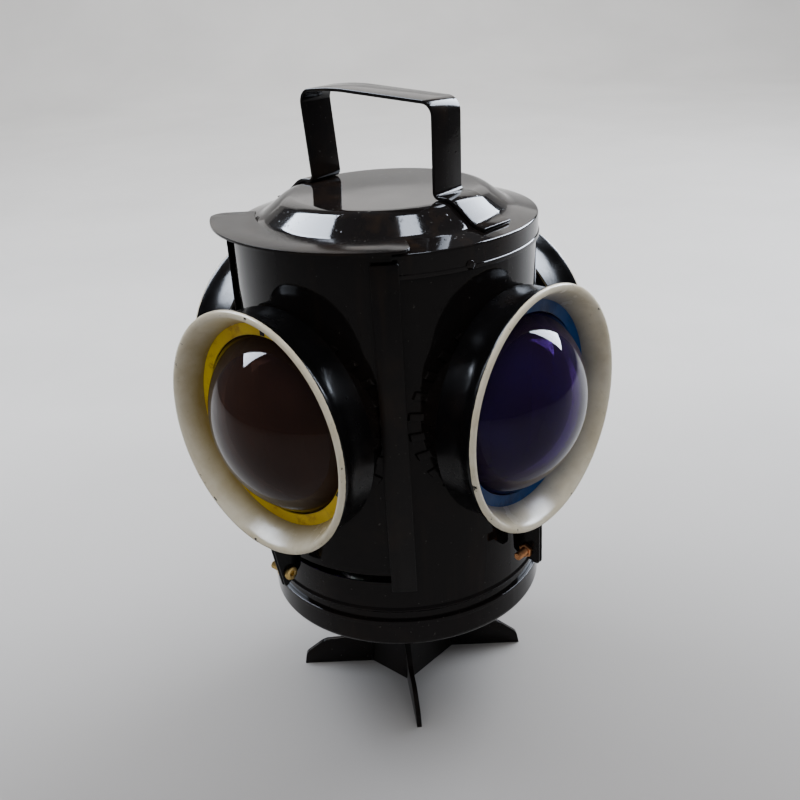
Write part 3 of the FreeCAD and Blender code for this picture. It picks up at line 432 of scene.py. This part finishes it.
yellow_ring = ring_enamel(
    "yellow_ring_enamel", (0.80, 0.58, 0.0), (0.64, 0.40, 0.0), (0.32, 0.12, 0.004), 0.75)
blue_ring = ring_enamel(
    "blue_ring_enamel", (0.002, 0.05, 0.19), (0.002, 0.028, 0.12), (0.004, 0.012, 0.05), 0.6)
print("two ring enamels")

# %% [markdown]
# ## Lens glass
#
# The lenses are thick pressed glass, one pair smoky brown and one pair cobalt. They are so dark that
# little light comes through, so the shader transmits only a part and its colour drifts slowly. The
# ripples of pressed glass are a relief.

# %% Lens glass
def lens_glass(name, light, dark, clear):
    """Dark glass between two tones that lets a share of the light through."""
    glass = Finish(name, Transmission_Weight=clear, IOR=1.28, Specular_IOR_Level=0.4)
    drift = glass.range(glass.noise(24, 3, 0.5), 0.3, 0.7)
    colour = glass.mix(drift, light, dark)
    roughness = glass.range(glass.noise(180, 3), 0.4, 0.8, 0.0, 0.04)
    relief = glass.bump(glass.noise(38, 2, 0.4), 0.00010)
    return glass.set(Base_Color=colour, Roughness=roughness, Normal=relief).material


smoky_glass = lens_glass(
    "smoky_amber_lens_glass", (0.060, 0.027, 0.018), (0.030, 0.012, 0.009), 0.55)
cobalt_glass = lens_glass("cobalt_lens_glass", (0.040, 0.014, 0.15), (0.032, 0.008, 0.055), 0.75)
print("two lens glasses")

# %% [markdown]
# ## Small metals, felt and cotton
#
# The bolts are brass and copper, dulled by handling. The oil parts inside are brass and tinned steel, the
# lens beds on felt, and the wick is woven cotton.

# %% Metals
LATHE_LINES = (1, 1, 0.05)


def metal(name, bright, dull, roughness, grain=(1, 1, 1), tarnish=0.6):
    """Bare metal with patches of tarnish and fine tool lines, drawn out along the axes of grain."""
    finish = Finish(name, Metallic=1.0)
    patches = finish.range(finish.noise(160, 5, 0.65), 0.42, 0.68)
    colour = finish.mix(finish.math("MULTIPLY", patches, tarnish), bright, dull)
    lines = finish.noise(1400, 2, 0.5, finish.stretched(grain))
    rough = finish.math("ADD", finish.range(patches, 0, 1, roughness, roughness + 0.2),
                        finish.range(lines, 0.3, 0.7, -0.05, 0.05))
    relief = finish.bump(lines, 0.00001)
    relief = finish.bump(finish.noise(240, 3), 0.00004, relief)
    return finish.set(Base_Color=colour, Roughness=rough, Normal=relief).material


bolt_brass = metal("bolt_brass", (0.72, 0.52, 0.20), (0.30, 0.20, 0.08), 0.28)
bolt_copper = metal("bolt_copper", (0.72, 0.34, 0.15), (0.32, 0.13, 0.06), 0.28)
burner_brass = metal("burner_brass", (0.78, 0.58, 0.24), (0.40, 0.27, 0.11), 0.22, LATHE_LINES, 0.5)
tinned_steel = metal("tinned_steel", (0.62, 0.62, 0.60), (0.34, 0.33, 0.31), 0.30, LATHE_LINES, 0.5)
print("four metals")

# %% Felt and cotton
CHAR_FROM, BURNT_FROM = 0.2005, 0.2030


def felt():
    """Matted grey fibres."""
    finish = Finish("gasket_felt", Roughness=0.95, Sheen_Weight=0.3)
    fibres = finish.noise(900, 5, 0.7)
    colour = finish.mix(fibres, (0.05, 0.045, 0.04), (0.16, 0.14, 0.12))
    return finish.set(Base_Color=colour, Normal=finish.bump(fibres, 0.0002)).material


def cotton():
    """Woven wick, browned and then black towards its burning end."""
    finish = Finish("wick_cotton", Roughness=0.9, Sheen_Weight=0.4)
    weft, warp = (
        finish.node("TexWave", {"bands_direction": way}, Vector=finish.place, Scale=scale, Distortion=1.0)
        for way, scale in (("Z", 280.0), ("X", 220.0)))
    weave = finish.math("MULTIPLY", weft.outputs["Fac"], warp.outputs["Fac"])
    colour = finish.mix(weave, (0.42, 0.36, 0.25), (0.80, 0.75, 0.62))
    height = finish.node("SeparateXYZ", None, Vector=finish.place).outputs["Z"]
    ragged = finish.range(finish.noise(500, 3), 0, 1, -0.001, 0.001)
    char = finish.range(finish.math("ADD", height, ragged), CHAR_FROM, BURNT_FROM)
    colour = finish.mix(char, colour, (0.012, 0.010, 0.009))
    return finish.set(Base_Color=colour, Normal=finish.bump(weave, 0.0003)).material


gasket_felt = felt()
wick_cotton = cotton()
print("felt and cotton")

# %% [markdown]
# ## Finishes of the frame's own pieces
#
# Every node of the frame gets its finish. The pieces whose shape is right need no more. The others are
# hidden later by the pieces that replace them.

# %% Dress the frame
FRAME_FINISHES = {
    "lid": lid_black, "lid_screws": lid_black, "door_top_plate": lid_black, "handle": strap_black,
    "font_seat": tinned_steel, "oil_font": tinned_steel, "wick": wick_cotton}
for node in ("filler_cap", "burner_collar", "burner_body", "wick_tube", "burner_cone", "wick_spindle",
             "wick_wheel", "wick_knob"):
    FRAME_FINISHES[node] = burner_brass
for side in SIDES:
    FRAME_FINISHES["lens_gasket_" + side] = gasket_felt
    FRAME_FINISHES["target_ring_" + side] = yellow_ring if is_amber(side) else blue_ring
    FRAME_FINISHES["lens_" + side] = smoky_glass if is_amber(side) else cobalt_glass
    FRAME_FINISHES["clamp_bolt_" + side] = bolt_brass if is_amber(side) else bolt_copper
for node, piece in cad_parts.items():
    piece.data.materials.clear()
    piece.data.materials.append(FRAME_FINISHES.get(node, case_black))
print(len(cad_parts), "nodes have their finish")

# %% [markdown]
# ## Hoods
#
# Each lens sits back in a short bell-mouthed hood. Its sleeve grips the lens drum and the mouth flares to
# a rolled lip. A hood is turned from a circle whose loop is extruded along the profile, out along the
# sleeve, round the lip and back in to the ring. Its mouth is then drawn out a little and narrowed at its
# sides. Two ears hang under it, cut from flat plates with rounded corners. The door's hood has ears of
# its own shape, and the other three are copies of one.

# %% The hood's profile
SLEEVE_INSIDE = 63.85 * MM
SLEEVE_OUTSIDE = 65.15 * MM
RING_FACE = -13.35 * MM
HOOD_BACK = -23.5 * MM


def in_metres(*stations):
    """Stations given in millimetres, in metres."""
    return [(along * MM, radius * MM) for along, radius in stations]


HOOD_OUTSIDE = [(HOOD_BACK, SLEEVE_OUTSIDE)] + in_metres(
    (-19.0, 65.15), (-15.5, 65.15), (-12.5, 65.3), (-10.4, 65.65), (-8.4, 66.3), (-6.4, 67.3), (-4.6, 68.6),
    (-3.2, 69.55))
HOOD_LIP = in_metres(
    (-2.2, 69.9), (-1.3, 69.95), (-0.6, 69.6), (-0.15, 68.9), (0.0, 68.0), (-0.1, 67.2), (-0.5, 66.4))
HOOD_INSIDE = in_metres(
    (-1.2, 65.7), (-2.3, 64.9), (-3.8, 64.0), (-5.5, 63.0), (-7.5, 61.8), (-9.5, 60.7), (-11.5, 59.6),
    (-12.7, 59.0), (-13.35, 58.8))
PAINT_VALUES = ("inside", "lip", "wall")
WHITE_FROM = HOOD_LIP[0][0] + 1e-6
SLEEVE_SKIN = 65.05 * MM
LIP_SKIN = 66.5 * MM
MOUTH_ROOT = -13.0 * MM
MOUTH_PUSH = 2.3 * MM
MOUTH_SQUEEZE = 0.035
LOOP_REACH = 2e-6


def hood_shell():
    """Turned hood whose vertices carry the values that its paint is told apart by."""
    piece = turned(HOOD_OUTSIDE + HOOD_LIP + HOOD_INSIDE
                   + [(RING_FACE, SLEEVE_INSIDE), (HOOD_BACK, SLEEVE_INSIDE), (HOOD_BACK, SLEEVE_OUTSIDE)])
    inside, lip, wall = [piece.data.attributes.new(name, "FLOAT", "POINT") for name in PAINT_VALUES]
    for vertex in piece.data.vertices:
        radius = math.hypot(vertex.co.y, vertex.co.z)
        outside = vertex.co.x < WHITE_FROM and radius > SLEEVE_SKIN
        inside.data[vertex.index].value = 0.0 if outside else 1.0
        lip.data[vertex.index].value = 1.0 if radius > LIP_SKIN and not outside else 0.0
        wall.data[vertex.index].value = 0.0 if outside else min(1.0, max(0.0, vertex.co.x / RING_FACE))
    return piece


def draw_out(piece, root, push, narrow):
    """Draw a turned mouth outward and press its sides in, the more the nearer a loop is to the lip."""
    loops = sorted({round(vertex.co.x, 6) for vertex in piece.data.vertices if vertex.co.x > root},
                   reverse=True)
    only(piece)
    bpy.ops.object.mode_set(mode="EDIT")
    for along in loops:
        share = 1 - along / root
        pick("verts", lambda vertex: abs(vertex.co.x - along) < LOOP_REACH)
        bpy.ops.transform.translate(value=(push * share, 0, 0))
        bpy.ops.transform.resize(value=(1, 1 - narrow * share, 1), center_override=(0, 0, 0))
    bpy.ops.object.mode_set(mode="OBJECT")


print("hood profile of", len(HOOD_OUTSIDE + HOOD_LIP + HOOD_INSIDE) + 2, "stations")

# %% The ears under it
EAR_SHEET = 1.3 * MM
EAR_GAP = 1.0 * MM
EAR_CORNER = 2.0 * MM
EAR_EDGE = 0.3 * MM
EAR_ENDS_BELOW = -90 * MM
EAR_MIDDLE = (-11 * MM, -82 * MM)
EAR_CORNERS = in_metres((-2.8, -66.2), (-22.3, -64.6), (-20.5, -96.0), (-2.8, -100.0))
DOOR_EAR_CORNERS = in_metres((-1.0, -66.8), (-22.3, -64.6), (-20.5, -92.5), (-7.5, -101.5))


def ear(corners, direction):
    """One ear, cut as a plate on the XZ plane, its corners rounded and its edges softened."""
    clear_selection()
    bpy.ops.mesh.primitive_plane_add(size=1, rotation=(math.pi / 2, 0, 0))
    piece = bpy.context.object
    bpy.ops.object.transform_apply(location=True, rotation=True, scale=True)
    order = sorted(piece.data.vertices, key=lambda vertex: math.atan2(vertex.co.z, vertex.co.x))
    shape = sorted(corners, key=lambda spot: math.atan2(spot[1] - EAR_MIDDLE[1], spot[0] - EAR_MIDDLE[0]))
    for vertex, (along, height) in zip(order, shape):
        vertex.co = (along, direction * EAR_GAP / 2, height)
    bpy.ops.object.mode_set(mode="EDIT")
    pick("verts", lambda vertex: vertex.co.z < EAR_ENDS_BELOW)
    bpy.ops.mesh.bevel(offset=EAR_CORNER, segments=5, affect="VERTICES")
    bpy.ops.mesh.select_all(action="SELECT")
    extrude((0, direction * EAR_SHEET, 0))
    face_outward()
    bpy.ops.object.mode_set(mode="OBJECT")
    round_edges(piece, EAR_EDGE, segments=2, sharper_than=50)
    for name in PAINT_VALUES:
        piece.data.attributes.new(name, "FLOAT", "POINT")
    return piece


def hood_with_ears(corners):
    """Hood with its drawn-out mouth and a pair of ears that have these corners."""
    shell = hood_shell()
    draw_out(shell, MOUTH_ROOT, MOUTH_PUSH, MOUTH_SQUEEZE)
    return join([shell, ear(corners, 1), ear(corners, -1)])


print("ears", EAR_SHEET, "m thick,", EAR_GAP, "m apart")

# %% A hood on each side
def copy_to_side(master, side):
    """Copy of a piece that was made facing +X about its own axis, turned and moved to a side of the lamp."""
    piece = master.copy()
    piece.data = master.data.copy()
    bpy.context.scene.collection.objects.link(piece)
    bearing = math.radians(SIDES[side])
    spot = (REACH[side] * math.cos(bearing), REACH[side] * math.sin(bearing), LENS_HEIGHT)
    settle(piece, spot, (0, 0, bearing))
    return piece


def on_sides(sides, master, stem, slot_of, material_of, smooth=35):
    """Give each of the sides a copy of the master, in place of the frame's own piece."""
    for side in sides:
        dress(copy_to_side(master, side), f"{stem}_{side}_piece", BODY_OF[side], slot_of(side),
              material_of(side), replaces=[f"{stem}_{side}"], smooth=smooth)
    bpy.data.objects.remove(master)


for sides, corners in ((("door",), DOOR_EAR_CORNERS), (PLAIN_SIDES, EAR_CORNERS)):
    on_sides(sides, hood_with_ears(corners), "hood", lambda side: "white_enamel",
             lambda side: amber_hood_paint if is_amber(side) else blue_hood_paint, 40)

# %% [markdown]
# ## Lenses
#
# A signal lens is a bull's eye: thick glass, domed outside and hollow behind, with a flange that the felt
# and the ring hold. It is turned like the hood. The door's lens has a flatter dome than the other three.

# %% Lens profile, in millimetres
LENS_FRONT = -14.5
DOME_EDGE = 52.0
GLASS = 9.0
FLANGE_RADIUS, FLANGE_BACK = 55.6, -20.9
FLANGE_EDGE, REAR_EDGE = 0.5, 0.6
RISES = {"door": 28.2, "right": 31.4, "rear": 31.4, "left": 31.4}


def lens_piece(rise):
    """Lens whose dome stands out by a rise in front of its flange."""
    ball = (DOME_EDGE ** 2 + rise ** 2) / (2 * rise)
    centre, back = LENS_FRONT + rise - ball, LENS_FRONT - GLASS
    hollow_edge = math.sqrt((ball - GLASS) ** 2 - (back - centre) ** 2)
    hollow = arc((hollow_edge, back), (0, centre + ball - GLASS), (0, centre), 24)
    dome = arc((DOME_EDGE, LENS_FRONT), (0, LENS_FRONT + rise), (0, centre), 36)
    profile = [(centre + ball - GLASS, 0)] + [(along, radius) for radius, along in reversed(hollow[:-1])]
    profile += [(back, hollow_edge), (back, DOME_EDGE - REAR_EDGE), (back + REAR_EDGE, DOME_EDGE)]
    profile += [(FLANGE_BACK, DOME_EDGE), (FLANGE_BACK, FLANGE_RADIUS - FLANGE_EDGE),
                (FLANGE_BACK + FLANGE_EDGE, FLANGE_RADIUS), (LENS_FRONT - FLANGE_EDGE, FLANGE_RADIUS),
                (LENS_FRONT, FLANGE_RADIUS - FLANGE_EDGE), (LENS_FRONT, DOME_EDGE)]
    profile += [(along, radius) for radius, along in dome[:-1]] + [(LENS_FRONT + rise, 0)]
    return turned(in_metres(*profile), segments=96)


for side in SIDES:
    on_sides((side,), lens_piece(RISES[side]), "lens",
             lambda side: "smoky_amber_glass" if is_amber(side) else "cobalt_glass",
             lambda side: smoky_glass if is_amber(side) else cobalt_glass, smooth=30)

# %% [markdown]
# ## Strips of sheet
#
# The clips and the handle are bent from flat strip. An edge is extruded along the bent line, the sheet is
# given its thickness and the edges are rounded, because their thin bright lines are what shows of a black
# strap.

# %% Bent strap
AT_THE_END = 1e-7


def bent_line(corners, steps=8):
    """Points along a line with rounded corners (x, z, radius), in millimetres."""
    spots = [Vector((x, z)) for x, z, radius in corners]
    points = [spots[0]]
    for index in range(1, len(corners) - 1):
        before = (spots[index] - spots[index - 1]).normalized()
        after = (spots[index + 1] - spots[index]).normalized()
        bend = before.angle(after)
        if corners[index][2] == 0:
            points.append(spots[index])
            continue
        reach = corners[index][2] * math.tan(bend / 2)
        start = spots[index] - before * reach
        side = 1 if before.x * after.y - before.y * after.x > 0 else -1
        centre = start + Vector((-before.y, before.x)) * side * corners[index][2]
        for step in range(steps + 1):
            spoke = Matrix.Rotation(side * bend * step / steps, 2) @ (start - centre)
            points.append(centre + spoke)
    return points + [spots[-1]]


def strap(points, width, sheet, edge):
    """Strap across Y that follows points on the XZ plane, all in millimetres."""
    clear_selection()
    bpy.ops.mesh.primitive_plane_add(size=1)
    piece = bpy.context.object
    first, second = points[0] * MM, points[1] * MM
    for vertex in piece.data.vertices:
        end = first if vertex.co.x < 0 else second
        vertex.co = (end.x, width * MM * (0.5 if vertex.co.y > 0 else -0.5), end.y)
    bpy.ops.object.mode_set(mode="EDIT")
    pick("edges", lambda rim: all((Vector((spot.co.x, spot.co.z)) - second).length < AT_THE_END
                                  for spot in rim.verts))
    for start, end in zip(points[1:], points[2:]):
        move = (end - start) * MM
        extrude((move.x, 0, move.y))
    face_outward()
    bpy.ops.object.mode_set(mode="OBJECT")
    apply_modifier(piece, "SOLIDIFY", thickness=sheet * MM, offset=1)
    round_edges(piece, edge * MM, segments=3, sharper_than=60)
    return piece


# %% Ring clips
CLIP_LINE = [(-13.2, 52.5, 0), (-13.2, 57.2, 1.0), (-12.2, 58.2, 0)]
CLIP_TURNS = (0, 120, 240)
CLIP_WIDTH, CLIP_SHEET, CLIP_EDGE = 3.6, 0.8, 0.2


def ring_clips():
    """Three clips that press the ring back, at the top and a third of a turn each way."""
    clips = []
    for turn in CLIP_TURNS:
        clip = strap(bent_line(CLIP_LINE, 4), CLIP_WIDTH, CLIP_SHEET, CLIP_EDGE)
        settle(clip, turn=(math.radians(turn), 0, 0))
        clips.append(clip)
    return join(clips)


on_sides(SIDES, ring_clips(), "ring_clips", lambda side: "black_enamel", lambda side: clip_black)

# %% [markdown]
# ## Clamp bolts
#
# A bolt with a pit drilled in its head passes through the ears and takes a six-sided nut. Its thread is
# turned as fine ridges.

# %% Bolt and nut
BOLT_TIP = [(-11.9, 0), (-11.9, 1.9), (-11.5, 2.25)]
BOLT_HEAD = [(1.9, 2.3), (1.9, 4.1), (2.2, 4.2), (3.7, 4.2), (4.3, 3.9), (4.5, 3.4), (4.5, 1.9), (4.3, 1.7),
             (2.8, 1.6), (2.7, 0)]
NUT = [(-4.5, 2.75), (-4.5, 4.2), (-4.1, 4.38), (-2.3, 4.38), (-1.9, 4.2), (-1.9, 2.75), (-4.5, 2.75)]
THREAD_FROM, THREAD_TO, THREAD_PITCH = -11.2, -2.2, 0.7
THREAD_CREST, THREAD_ROOT = 2.38, 2.02
NUT_EDGE = 0.25 * MM
BOLT_SPOT = (-11.0 * MM, 0, -92.3 * MM)


def clamp_bolt():
    """Bolt along Z, its head up, with the ears between -1.9 and 1.9 mm, turned to lie through them."""
    thread = []
    along = THREAD_FROM
    while along < THREAD_TO:
        thread += [(along, THREAD_CREST), (along + THREAD_PITCH / 2, THREAD_ROOT)]
        along += THREAD_PITCH
    bolt = turned(in_metres(*BOLT_TIP, *thread, *BOLT_HEAD), segments=48, axis="Z")
    nut = turned(in_metres(*NUT), segments=6, axis="Z")
    round_edges(nut, NUT_EDGE, segments=2, sharper_than=40)
    join([bolt, nut])
    settle(bolt, BOLT_SPOT, (-math.pi / 2, 0, 0))
    return bolt


on_sides(SIDES, clamp_bolt(), "clamp_bolt", lambda side: "bolt_brass" if is_amber(side) else "bolt_copper",
         lambda side: bolt_brass if is_amber(side) else bolt_copper)

# %% [markdown]
# ## Handle and lid
#
# The handle is one strap bent over the lid, and its feet follow the lid's shoulder. Its top is a little
# bowed, and its left corner stands out and up a little, as in the photograph. The lid is turned from one
# profile: a flat top, a softly rolled shoulder, a sloping brim and a skirt with a hem.

# %% Handle
HANDLE_FOOT = [(78.5, 312.87, 0), (71.5, 314.7, 14), (56.5, 326.1, 14), (44.8, 326.1, 4)]
HANDLE_TOP = [(45.9, 374.6, 6.0), (-26, 378.9, 160), (-49.4, 376.9, 6.0)]
HANDLE_WIDTH, HANDLE_SHEET, HANDLE_EDGE = 22.8, 2.0, 0.45
left_foot = [(-x, z, radius) for x, z, radius in reversed(HANDLE_FOOT)]
handle = strap(bent_line(HANDLE_FOOT + HANDLE_TOP + left_foot), HANDLE_WIDTH, HANDLE_SHEET, HANDLE_EDGE)
print("handle", tuple(round(number, 4) for number in handle.dimensions))
dress(handle, "strap_handle", "lamp_body", "black_enamel", strap_black, replaces=["handle"])

# %% Lid
LID_OVER = [(0, 326.0, 0), (56.5, 326.0, 14), (71.5, 314.6, 14), (86.4, 310.8, 1.2), (86.4, 300.6, 0.3),
            (86.9, 300.2, 0.3), (86.9, 298.0, 0.3), (85.2, 298.0, 0)]
LID_UNDER = [(85.2, 298.0, 0), (85.2, 309.6, 0.4), (71.1, 313.4, 15.2), (56.0, 324.8, 12.8), (0, 324.8, 0)]
over = [(spot.y, spot.x) for spot in bent_line(LID_OVER, 10)]
under = [(spot.y, spot.x) for spot in bent_line(LID_UNDER, 10)]
lid = turned(in_metres(*over, *under[1:]), segments=192, axis="Z")
dress(lid, "pressed_lid", "lamp_body", "black_enamel", lid_black, replaces=["lid"], smooth=50)

# %% [markdown]
# ## Softened sheet edges
#
# The folded and cut pieces keep the frame's shape, but no sheet has a razor edge. Each is copied, its
# seams are merged and its edges get a small round that catches the light.

# %% Soften
NODE_SEAM_GAP = 0.000005
PLATE_EDGE, GUIDE_EDGE, DRUM_EDGE, STRIP_EDGE = 0.5, 0.8, 0.35, 0.5


def softened(node, name, body, material, edge):
    """The frame's own piece with its edges rounded."""
    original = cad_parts[node]
    piece = original.copy()
    piece.data = original.data.copy()
    bpy.context.scene.collection.objects.link(piece)
    only(piece)
    bpy.ops.object.mode_set(mode="EDIT")
    bpy.ops.mesh.select_all(action="SELECT")
    bpy.ops.mesh.remove_doubles(threshold=NODE_SEAM_GAP)
    bpy.ops.object.mode_set(mode="OBJECT")
    round_edges(piece, edge * MM, segments=2, sharper_than=40)
    return dress(piece, name, body, "black_enamel", material, replaces=[node], smooth=40)


softened("door_top_plate", "door_plate_rounded", "door", plate_black, PLATE_EDGE)
for side in ("right", "left"):
    softened("guide_" + side, f"door_guide_{side}_rounded", "lamp_body", guide_black, GUIDE_EDGE)
for side in SIDES:
    softened("lens_holder_" + side, f"lens_drum_{side}_rounded", BODY_OF[side], case_black, DRUM_EDGE)
for side in ("front", "rear", "right", "left"):
    softened("foot_strip_" + side, f"foot_strip_{side}_rounded", "lamp_body", case_black, STRIP_EDGE)

# %% [markdown]
# ## Milled knob and filler cap
#
# The wick knob and the filler cap are turned, and every second face of their rims is sunk, as a milling
# wheel leaves it for the fingers.

# %% Knob and cap
TOOTH_MARGIN, TOOTH_DEPTH = 0.1 * MM, 0.35 * MM
ON_THE_RIM = 1e-5
KNOB_RIM, KNOB_TEETH = 6.8, 28
KNOB_SPOT = (0, -5.95 * MM, 170.0 * MM)
CAP_RIM, CAP_BORE, CAP_SHEET, CAP_TEETH = 9.88, 8.08, 1.8, 36
CAP_SPOT = (-30.0 * MM, 0, 0)


def milled(piece, axis, rim, teeth):
    """Sink every second face of a turned rim of a given radius."""
    only(piece)
    bpy.ops.object.mode_set(mode="EDIT")

    def spoke(spot):
        return Vector((spot.y, spot.z)) if axis == "X" else Vector((spot.x, spot.y))

    def sunk(face):
        centre = spoke(face.calc_center_median())
        place = int((math.atan2(centre.y, centre.x) / math.pi + 1) * teeth)
        return place % 2 == 0 and all(abs(spoke(vertex.co).length - rim) < ON_THE_RIM
                                      for vertex in face.verts)

    pick("faces", sunk)
    bpy.ops.mesh.inset(thickness=TOOTH_MARGIN, depth=-TOOTH_DEPTH, use_individual=True)
    bpy.ops.object.mode_set(mode="OBJECT")


knob = turned(in_metres((28.5, 1.25), (28.5, 5.9), (29.3, KNOB_RIM), (32.2, KNOB_RIM), (33.0, 5.9),
                        (33.0, 1.25), (28.5, 1.25)), segments=2 * KNOB_TEETH)
milled(knob, "X", KNOB_RIM * MM, KNOB_TEETH)
settle(knob, KNOB_SPOT)
dress(knob, "milled_wick_knob", "wick_winder", "burner_brass", burner_brass, replaces=["wick_knob"],
      smooth=30)
cap_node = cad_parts["filler_cap"]
cap_spots = [cap_node.matrix_world @ vertex.co for vertex in cap_node.data.vertices]
cap_foot, cap_top = (extreme(spot.z for spot in cap_spots) / MM for extreme in (min, max))
cap_inside = [(cap_top - CAP_SHEET, 0), (cap_top - CAP_SHEET, CAP_BORE), (cap_foot, CAP_BORE)]
cap_outside = [(cap_foot, 9.4), (cap_foot + 0.5, CAP_RIM), (cap_top - 0.9, CAP_RIM), (cap_top - 0.3, 9.6),
               (cap_top, 9.0), (cap_top, 0)]
cap = turned(in_metres(*cap_inside, *cap_outside), segments=2 * CAP_TEETH, axis="Z")
milled(cap, "Z", CAP_RIM * MM, CAP_TEETH)
settle(cap, CAP_SPOT)
dress(cap, "milled_filler_cap", "filler_cap", "burner_brass", burner_brass, replaces=["filler_cap"],
      smooth=30)

# %% [markdown]
# ## Floor, backdrop and light
#
# The lamp stands on a pale seamless sheet that rises behind it, its colour painted darker toward the camera
# as painted shade. Four
# lights are only mirrored: two windows, to its left and right, a small ceiling light and the pale wall
# behind. The black gloss shows them as bright shapes. Five soft lights, which nothing mirrors, fill in the
# rest, from the left, the right, the front and overhead, and on the backdrop itself.

# %% Floor and backdrop
CAMERA_BEARING = -47
FAR_BEARING = CAMERA_BEARING + 180
SHEET_WIDTH, SHEET_DEPTH, SHEET_RISE = 5.0, 5.2, 2.2
SHEET_SHIFT = 0.2
BEND_STEPS, BEND_STEP = 12, 0.14
PALE_PAPER, SMUDGED_PAPER = (0.70, 0.695, 0.685), (0.64, 0.635, 0.625)
# Colour of the painted shade on the paper toward the camera.
PAINTED_SHADE_PAPER = (0.31, 0.297, 0.285)


def backdrop():
    """Sheet that lies under the lamp, bends up behind it and rises."""
    clear_selection()
    bpy.ops.mesh.primitive_plane_add(size=1)
    sheet = bpy.context.object
    sheet.name = "pale_backdrop"
    bearing = math.radians(CAMERA_BEARING)
    behind = Vector((-math.cos(bearing), -math.sin(bearing), 0))
    bpy.ops.object.mode_set(mode="EDIT")
    bpy.ops.transform.resize(value=(SHEET_WIDTH, SHEET_DEPTH, 1))
    pick("edges", lambda edge: all(vertex.co.y > 0.4 * SHEET_DEPTH for vertex in edge.verts))
    for step in range(BEND_STEPS):
        angle = math.radians(90 / BEND_STEPS * (step + 0.5))
        extrude((0, BEND_STEP * math.cos(angle), BEND_STEP * math.sin(angle)))
    extrude((0, 0, SHEET_RISE))
    bpy.ops.object.mode_set(mode="OBJECT")
    settle(sheet, behind * SHEET_SHIFT, (0, 0, math.atan2(behind.y, behind.x) - math.pi / 2))
    bpy.ops.object.shade_smooth()
    return sheet


floor = backdrop()
paper = Finish("backdrop_paper", Roughness=0.85)
smudges = paper.range(paper.noise(3.0, 4, 0.55), 0.35, 0.7)
colour = paper.mix(smudges, PALE_PAPER, SMUDGED_PAPER)
toward_camera = (0, 0, math.radians(-CAMERA_BEARING))
turned_place = paper.node("Mapping", None, Vector=paper.place, Rotation=toward_camera).outputs["Vector"]
nearness = paper.node("SeparateXYZ", None, Vector=turned_place).outputs["X"]
# Painted shade: the paper's colour darkens toward the camera, in front of the lamp.
painted_shade = paper.range(nearness, -0.45, 0.15)
colour = paper.mix(painted_shade, colour, PAINTED_SHADE_PAPER)
paper.set(Base_Color=colour, Normal=paper.bump(paper.noise(9, 3), 0.0008))
floor.data.materials.append(paper.material)
print("backdrop", len(floor.data.polygons), "faces")

# %% Lights
LIGHT_TARGET = Vector((0, 0, 0.26))
LEFT_BEARING, RIGHT_BEARING = -163, 79
BACKDROP_FILL_TILT = 18
SKYLIGHT, SOFT_SKYLIGHT, WALL_LIGHT = (0.78, 0.86, 1.0), (0.96, 0.97, 1.0), (1.0, 0.97, 0.95)
WARM_LIGHT, PAPER_LIGHT = (1.0, 0.98, 0.96), (1.0, 0.99, 0.98)
ROOM_LIGHT, ROOM_STRENGTH = (0.90, 0.93, 1.0, 1), 0.2


def window(name, heading, height_angle, distance, width, height, power, colour):
    """Rectangular light at a heading and height angle from the lamp, turned to face it."""
    heading, height_angle = math.radians(heading), math.radians(height_angle)
    way = Vector((math.cos(heading) * math.cos(height_angle), math.sin(heading) * math.cos(height_angle),
                  math.sin(height_angle)))
    light = bpy.data.objects.new(name, bpy.data.lights.new(name, "AREA"))
    light.data.shape = "RECTANGLE"
    light.data.size, light.data.size_y = width, height
    light.data.energy = power
    light.data.color = colour
    light.visible_camera = False
    light.location = LIGHT_TARGET + way * distance
    light.rotation_euler = (-way).to_track_quat("-Z", "Y").to_euler()
    bpy.context.scene.collection.objects.link(light)
    return light


mirrored = [window("left_window", LEFT_BEARING, 45, 1.9, 1.05, 1.25, 240, SKYLIGHT),
            window("right_window", RIGHT_BEARING, 33, 1.9, 0.95, 1.35, 225, SKYLIGHT),
            window("ceiling_light", 56, 79, 1.9, 0.34, 0.30, 14, SKYLIGHT),
            window("wall_behind", FAR_BEARING, 26, 3.4, 3.4, 1.5, 13, WALL_LIGHT)]
for light in mirrored:
    light.visible_diffuse = False
soft = [window("left_fill", LEFT_BEARING, 52, 2.2, 1.6, 1.4, 24, SOFT_SKYLIGHT),
        window("right_fill", RIGHT_BEARING, 42, 2.2, 1.6, 1.4, 42, SOFT_SKYLIGHT),
        window("front_fill", CAMERA_BEARING, 66, 2.8, 3.2, 3.2, 46, WARM_LIGHT),
        window("overhead_fill", FAR_BEARING, 78, 2.6, 3.0, 3.0, 30, WARM_LIGHT),
        window("backdrop_fill", FAR_BEARING, 38, 4.0, 4.0, 2.0, 85, PAPER_LIGHT)]
for light in soft:
    light.visible_glossy = False
    light.visible_transmission = False
soft[-1].rotation_euler = (math.radians(BACKDROP_FILL_TILT), 0, math.radians(FAR_BEARING - 90))
world = bpy.data.worlds.new("room")
world.use_nodes = True
background = world.node_tree.nodes["Background"].inputs
background["Color"].default_value = ROOM_LIGHT
background["Strength"].default_value = ROOM_STRENGTH
bpy.context.scene.world = world
print("lights", ", ".join(light.name for light in mirrored + soft))
